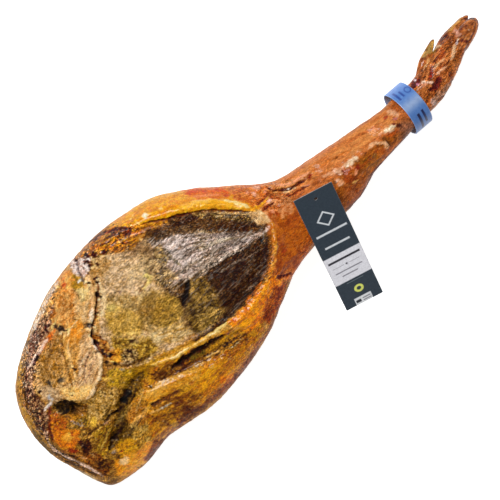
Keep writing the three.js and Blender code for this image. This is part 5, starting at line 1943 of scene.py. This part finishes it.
def noise_node(nodes, links, scale, detail=3.0, roughness=0.55, stretch=None, distortion=0.0):
    """Noise in the object's own coordinates, `scale` cells to a metre, drawn out along the axes if asked."""
    coordinates = nodes.new("ShaderNodeTexCoord")
    texture = nodes.new("ShaderNodeTexNoise")
    texture.inputs["Scale"].default_value = scale
    texture.inputs["Detail"].default_value = detail
    texture.inputs["Roughness"].default_value = roughness
    texture.inputs["Distortion"].default_value = distortion
    place = coordinates.outputs["Object"]
    if stretch is not None:
        mapping = nodes.new("ShaderNodeMapping")
        mapping.inputs["Scale"].default_value = stretch
        links.new(place, mapping.inputs["Vector"])
        place = mapping.outputs["Vector"]
    links.new(place, texture.inputs["Vector"])
    return texture.outputs["Fac"]


def range_node(nodes, links, value, low, high, from_low=0.0, from_high=1.0):
    """Maps a value from one range to another."""
    mapping = nodes.new("ShaderNodeMapRange")
    mapping.inputs["From Min"].default_value = from_low
    mapping.inputs["From Max"].default_value = from_high
    mapping.inputs["To Min"].default_value = low
    mapping.inputs["To Max"].default_value = high
    links.new(value, mapping.inputs["Value"])
    return mapping.outputs["Result"]


def multiply_node(nodes, links, colour, value):
    """A colour made lighter or darker by a value."""
    mix = nodes.new("ShaderNodeMix")
    mix.data_type = "RGBA"
    mix.blend_type = "MULTIPLY"
    mix.inputs[0].default_value = 1.0
    links.new(colour, mix.inputs[6])
    links.new(value, mix.inputs[7])
    return mix.outputs[2]


def bump_node(nodes, links, height, depth_mm, strength, after=None):
    bump = nodes.new("ShaderNodeBump")
    bump.inputs["Distance"].default_value = depth_mm * MM
    links.new(strength, bump.inputs["Strength"])
    links.new(height, bump.inputs["Height"])
    if after is not None:
        links.new(after, bump.inputs["Normal"])
    return bump.outputs["Normal"]


def mixed_number(nodes, links, factor, value):
    """1 where the factor is 0, and the value where it is 1."""
    mix = nodes.new("ShaderNodeMix")
    mix.data_type = "FLOAT"
    mix.clamp_factor = False
    mix.inputs[2].default_value = 1.0
    links.new(factor, mix.inputs[0])
    links.new(value, mix.inputs[3])
    return mix.outputs[0]


def attribute_node(nodes, name, output="Fac"):
    attribute = nodes.new("ShaderNodeAttribute")
    attribute.attribute_name = name
    return attribute.outputs[output]


def strand_nodes(nodes, links, colour):
    """Dark and pale fibres along the ham, as strong as the strand value; the pale fibres are partly a painted
    sheen on wet membrane.
    """
    strand = attribute_node(nodes, "strand")
    furrow = noise_node(nodes, links, STRAND_CELLS, 3, 0.6, FURROW_STRETCH, 0.3)
    darker = mixed_number(nodes, links, strand, range_node(nodes, links, furrow, 0.25, 1.3, 0.38, 0.56))
    colour = multiply_node(nodes, links, colour, darker)
    sinew = noise_node(nodes, links, STRAND_CELLS, 3, 0.65, SINEW_STRETCH, 0.25)
    pale = nodes.new("ShaderNodeMix")
    pale.data_type = "RGBA"
    amount = nodes.new("ShaderNodeMath")
    amount.operation = "MULTIPLY"
    links.new(strand, amount.inputs[0])
    links.new(range_node(nodes, links, sinew, 0.0, 0.55, 0.53, 0.68), amount.inputs[1])
    links.new(amount.outputs[0], pale.inputs[0])
    links.new(colour, pale.inputs[6])
    pale.inputs[7].default_value = SINEW_AND_SHEEN_COLOUR
    return pale.outputs[2]


def painted_material(name, grains, bumps, roughness, specular, wetness=0.0, strands=False, stretch=None):
    """A painted surface. `grains` are (cells to a metre, detail, contrast) of light and dark grain, as strong
    as the grit, `bumps` are (cells to a metre, depth in millimetres), `roughness` is for no gloss and full
    gloss, `wetness` is the weight of the clear coat at full gloss, and `stretch` draws the grain out."""
    material, nodes, links, shader = new_material(name)
    colour = attribute_node(nodes, "paint", "Color")
    grit = attribute_node(nodes, "grit")
    for scale, detail, contrast in grains:
        fleck = noise_node(nodes, links, scale, detail, 0.7, stretch)
        low, high = 1 - GRAIN_SPAN * contrast, 1 + GRAIN_SPAN * contrast
        grain = range_node(nodes, links, fleck, low, high, NOISE_LOW, NOISE_HIGH)
        colour = multiply_node(nodes, links, colour, mixed_number(nodes, links, grit, grain))
    if strands:
        colour = strand_nodes(nodes, links, colour)
    links.new(colour, shader.inputs["Base Color"])
    gloss = attribute_node(nodes, "gloss")
    links.new(range_node(nodes, links, gloss, roughness[0], roughness[1]), shader.inputs["Roughness"])
    normal = None
    for scale, depth in bumps:
        normal = bump_node(nodes, links, noise_node(nodes, links, scale, 3), depth, grit, normal)
    links.new(normal, shader.inputs["Normal"])
    shader.inputs["Specular IOR Level"].default_value = specular
    if wetness:
        links.new(range_node(nodes, links, gloss, 0, wetness, 0.2, 1), shader.inputs["Coat Weight"])
        shader.inputs["Coat Roughness"].default_value = COAT_ROUGHNESS
    return material, shader


def cured_material():
    """Cured flesh, fat and rind: painted colour broken up by fine grain, wet where the gloss is high."""
    grains = [(260, 4, 0.4), (900, 2, 1.9)]
    bumps = [(220, 1.2), (700, 1.2)]
    material, shader = painted_material(
        "cured_flesh", grains, bumps, roughness=(0.7, 0.45), specular=0.07, wetness=0.4, strands=True,
        stretch=(0.4, 1, 1))
    shader.inputs["Subsurface Weight"].default_value = 0.04
    shader.inputs["Subsurface Radius"].default_value = (0.004, 0.0018, 0.0009)
    shader.inputs["Subsurface Scale"].default_value = 1.0
    return material


def horn_material():
    """Claw horn, drier than the flesh."""
    grains = [(150, 7, 0.6), (700, 3, 0.6)]
    bumps = [(260, 2.0), (700, 1.0)]
    material, _ = painted_material("claw_horn", grains, bumps, (0.6, 0.4), specular=0.1, wetness=0.8)
    return material


def band_material():
    """Satin blue plastic."""
    material, _ = painted_material("blue_plastic", [(300, 4, 0.25)], [(240, 0.4)], (0.5, 0.26), specular=0.6)
    return material


def tag_material():
    """Coated card."""
    material, _ = painted_material("slate_card", [(900, 4, 0.4)], [(900, 0.4)], (0.6, 0.4), specular=0.3)
    return material


# Camera, floor and light

def make_camera():
    """The photograph's view, straight down on the ham."""
    spot = camera_spot()
    data = bpy.data.cameras.new("camera")
    data.lens = LENS
    data.sensor_width = SENSOR
    data.clip_end = 20
    camera = bpy.data.objects.new("camera", data)
    place = np.array([[spot[0], spot[1], SHARP_HEIGHT + CAMERA_RISE]])
    camera.location = in_row_frame(place)[0]
    camera.rotation_euler = (0, 0, -PHOTO_TURN)
    bpy.context.scene.collection.objects.link(camera)
    bpy.context.scene.camera = camera


FLOOR_HALF = 4.0
FLOOR_GAP = 0.0005


def make_floor():
    half = FLOOR_HALF
    mesh = bpy.data.meshes.new("floor")
    corners = [(-half, -half, 0), (half, -half, 0), (half, half, 0), (-half, half, 0)]
    mesh.from_pydata(corners, [], [(0, 1, 2, 3)])
    material, _, _, shader = new_material("pale_floor")
    shader.inputs["Base Color"].default_value = (FLOOR_ALBEDO, FLOOR_ALBEDO, FLOOR_ALBEDO, 1)
    shader.inputs["Roughness"].default_value = 0.9
    shader.inputs["Emission Color"].default_value = (1, 1, 1, 1)
    shader.inputs["Emission Strength"].default_value = FLOOR_GLOW
    mesh.materials.append(material)
    floor = bpy.data.objects.new("floor", mesh)
    floor.location.z = -FLOOR_GAP
    bpy.context.scene.collection.objects.link(floor)


def make_lamp(name, place, size, power):
    """A square soft lamp that looks at the middle of the ham."""
    data = bpy.data.lights.new(name, "AREA")
    data.size = size
    data.energy = power
    lamp = bpy.data.objects.new(name, data)
    lamp.location = place
    lamp.rotation_euler = (-Vector(place.tolist())).to_track_quat("-Z", "Y").to_euler()
    bpy.context.scene.collection.objects.link(lamp)


def light_scene():
    """A white sky and one soft lamp, without a film look."""
    world = bpy.data.worlds.new("studio")
    bpy.context.scene.world = world
    world.use_nodes = True
    world.node_tree.nodes["Background"].inputs["Color"].default_value = (1, 1, 1, 1)
    world.node_tree.nodes["Background"].inputs["Strength"].default_value = SKY
    make_lamp("key_lamp", LAMP_PLACE, LAMP_SIZE, LAMP_POWER)
    bpy.context.scene.view_settings.view_transform = "Standard"


make_camera()
make_ham(cured_material())
horn = horn_material()
for claw_name in CLAWS:
    make_claw(claw_name, horn)
make_band(band_material())
make_tag(tag_material())
make_floor()
light_scene()
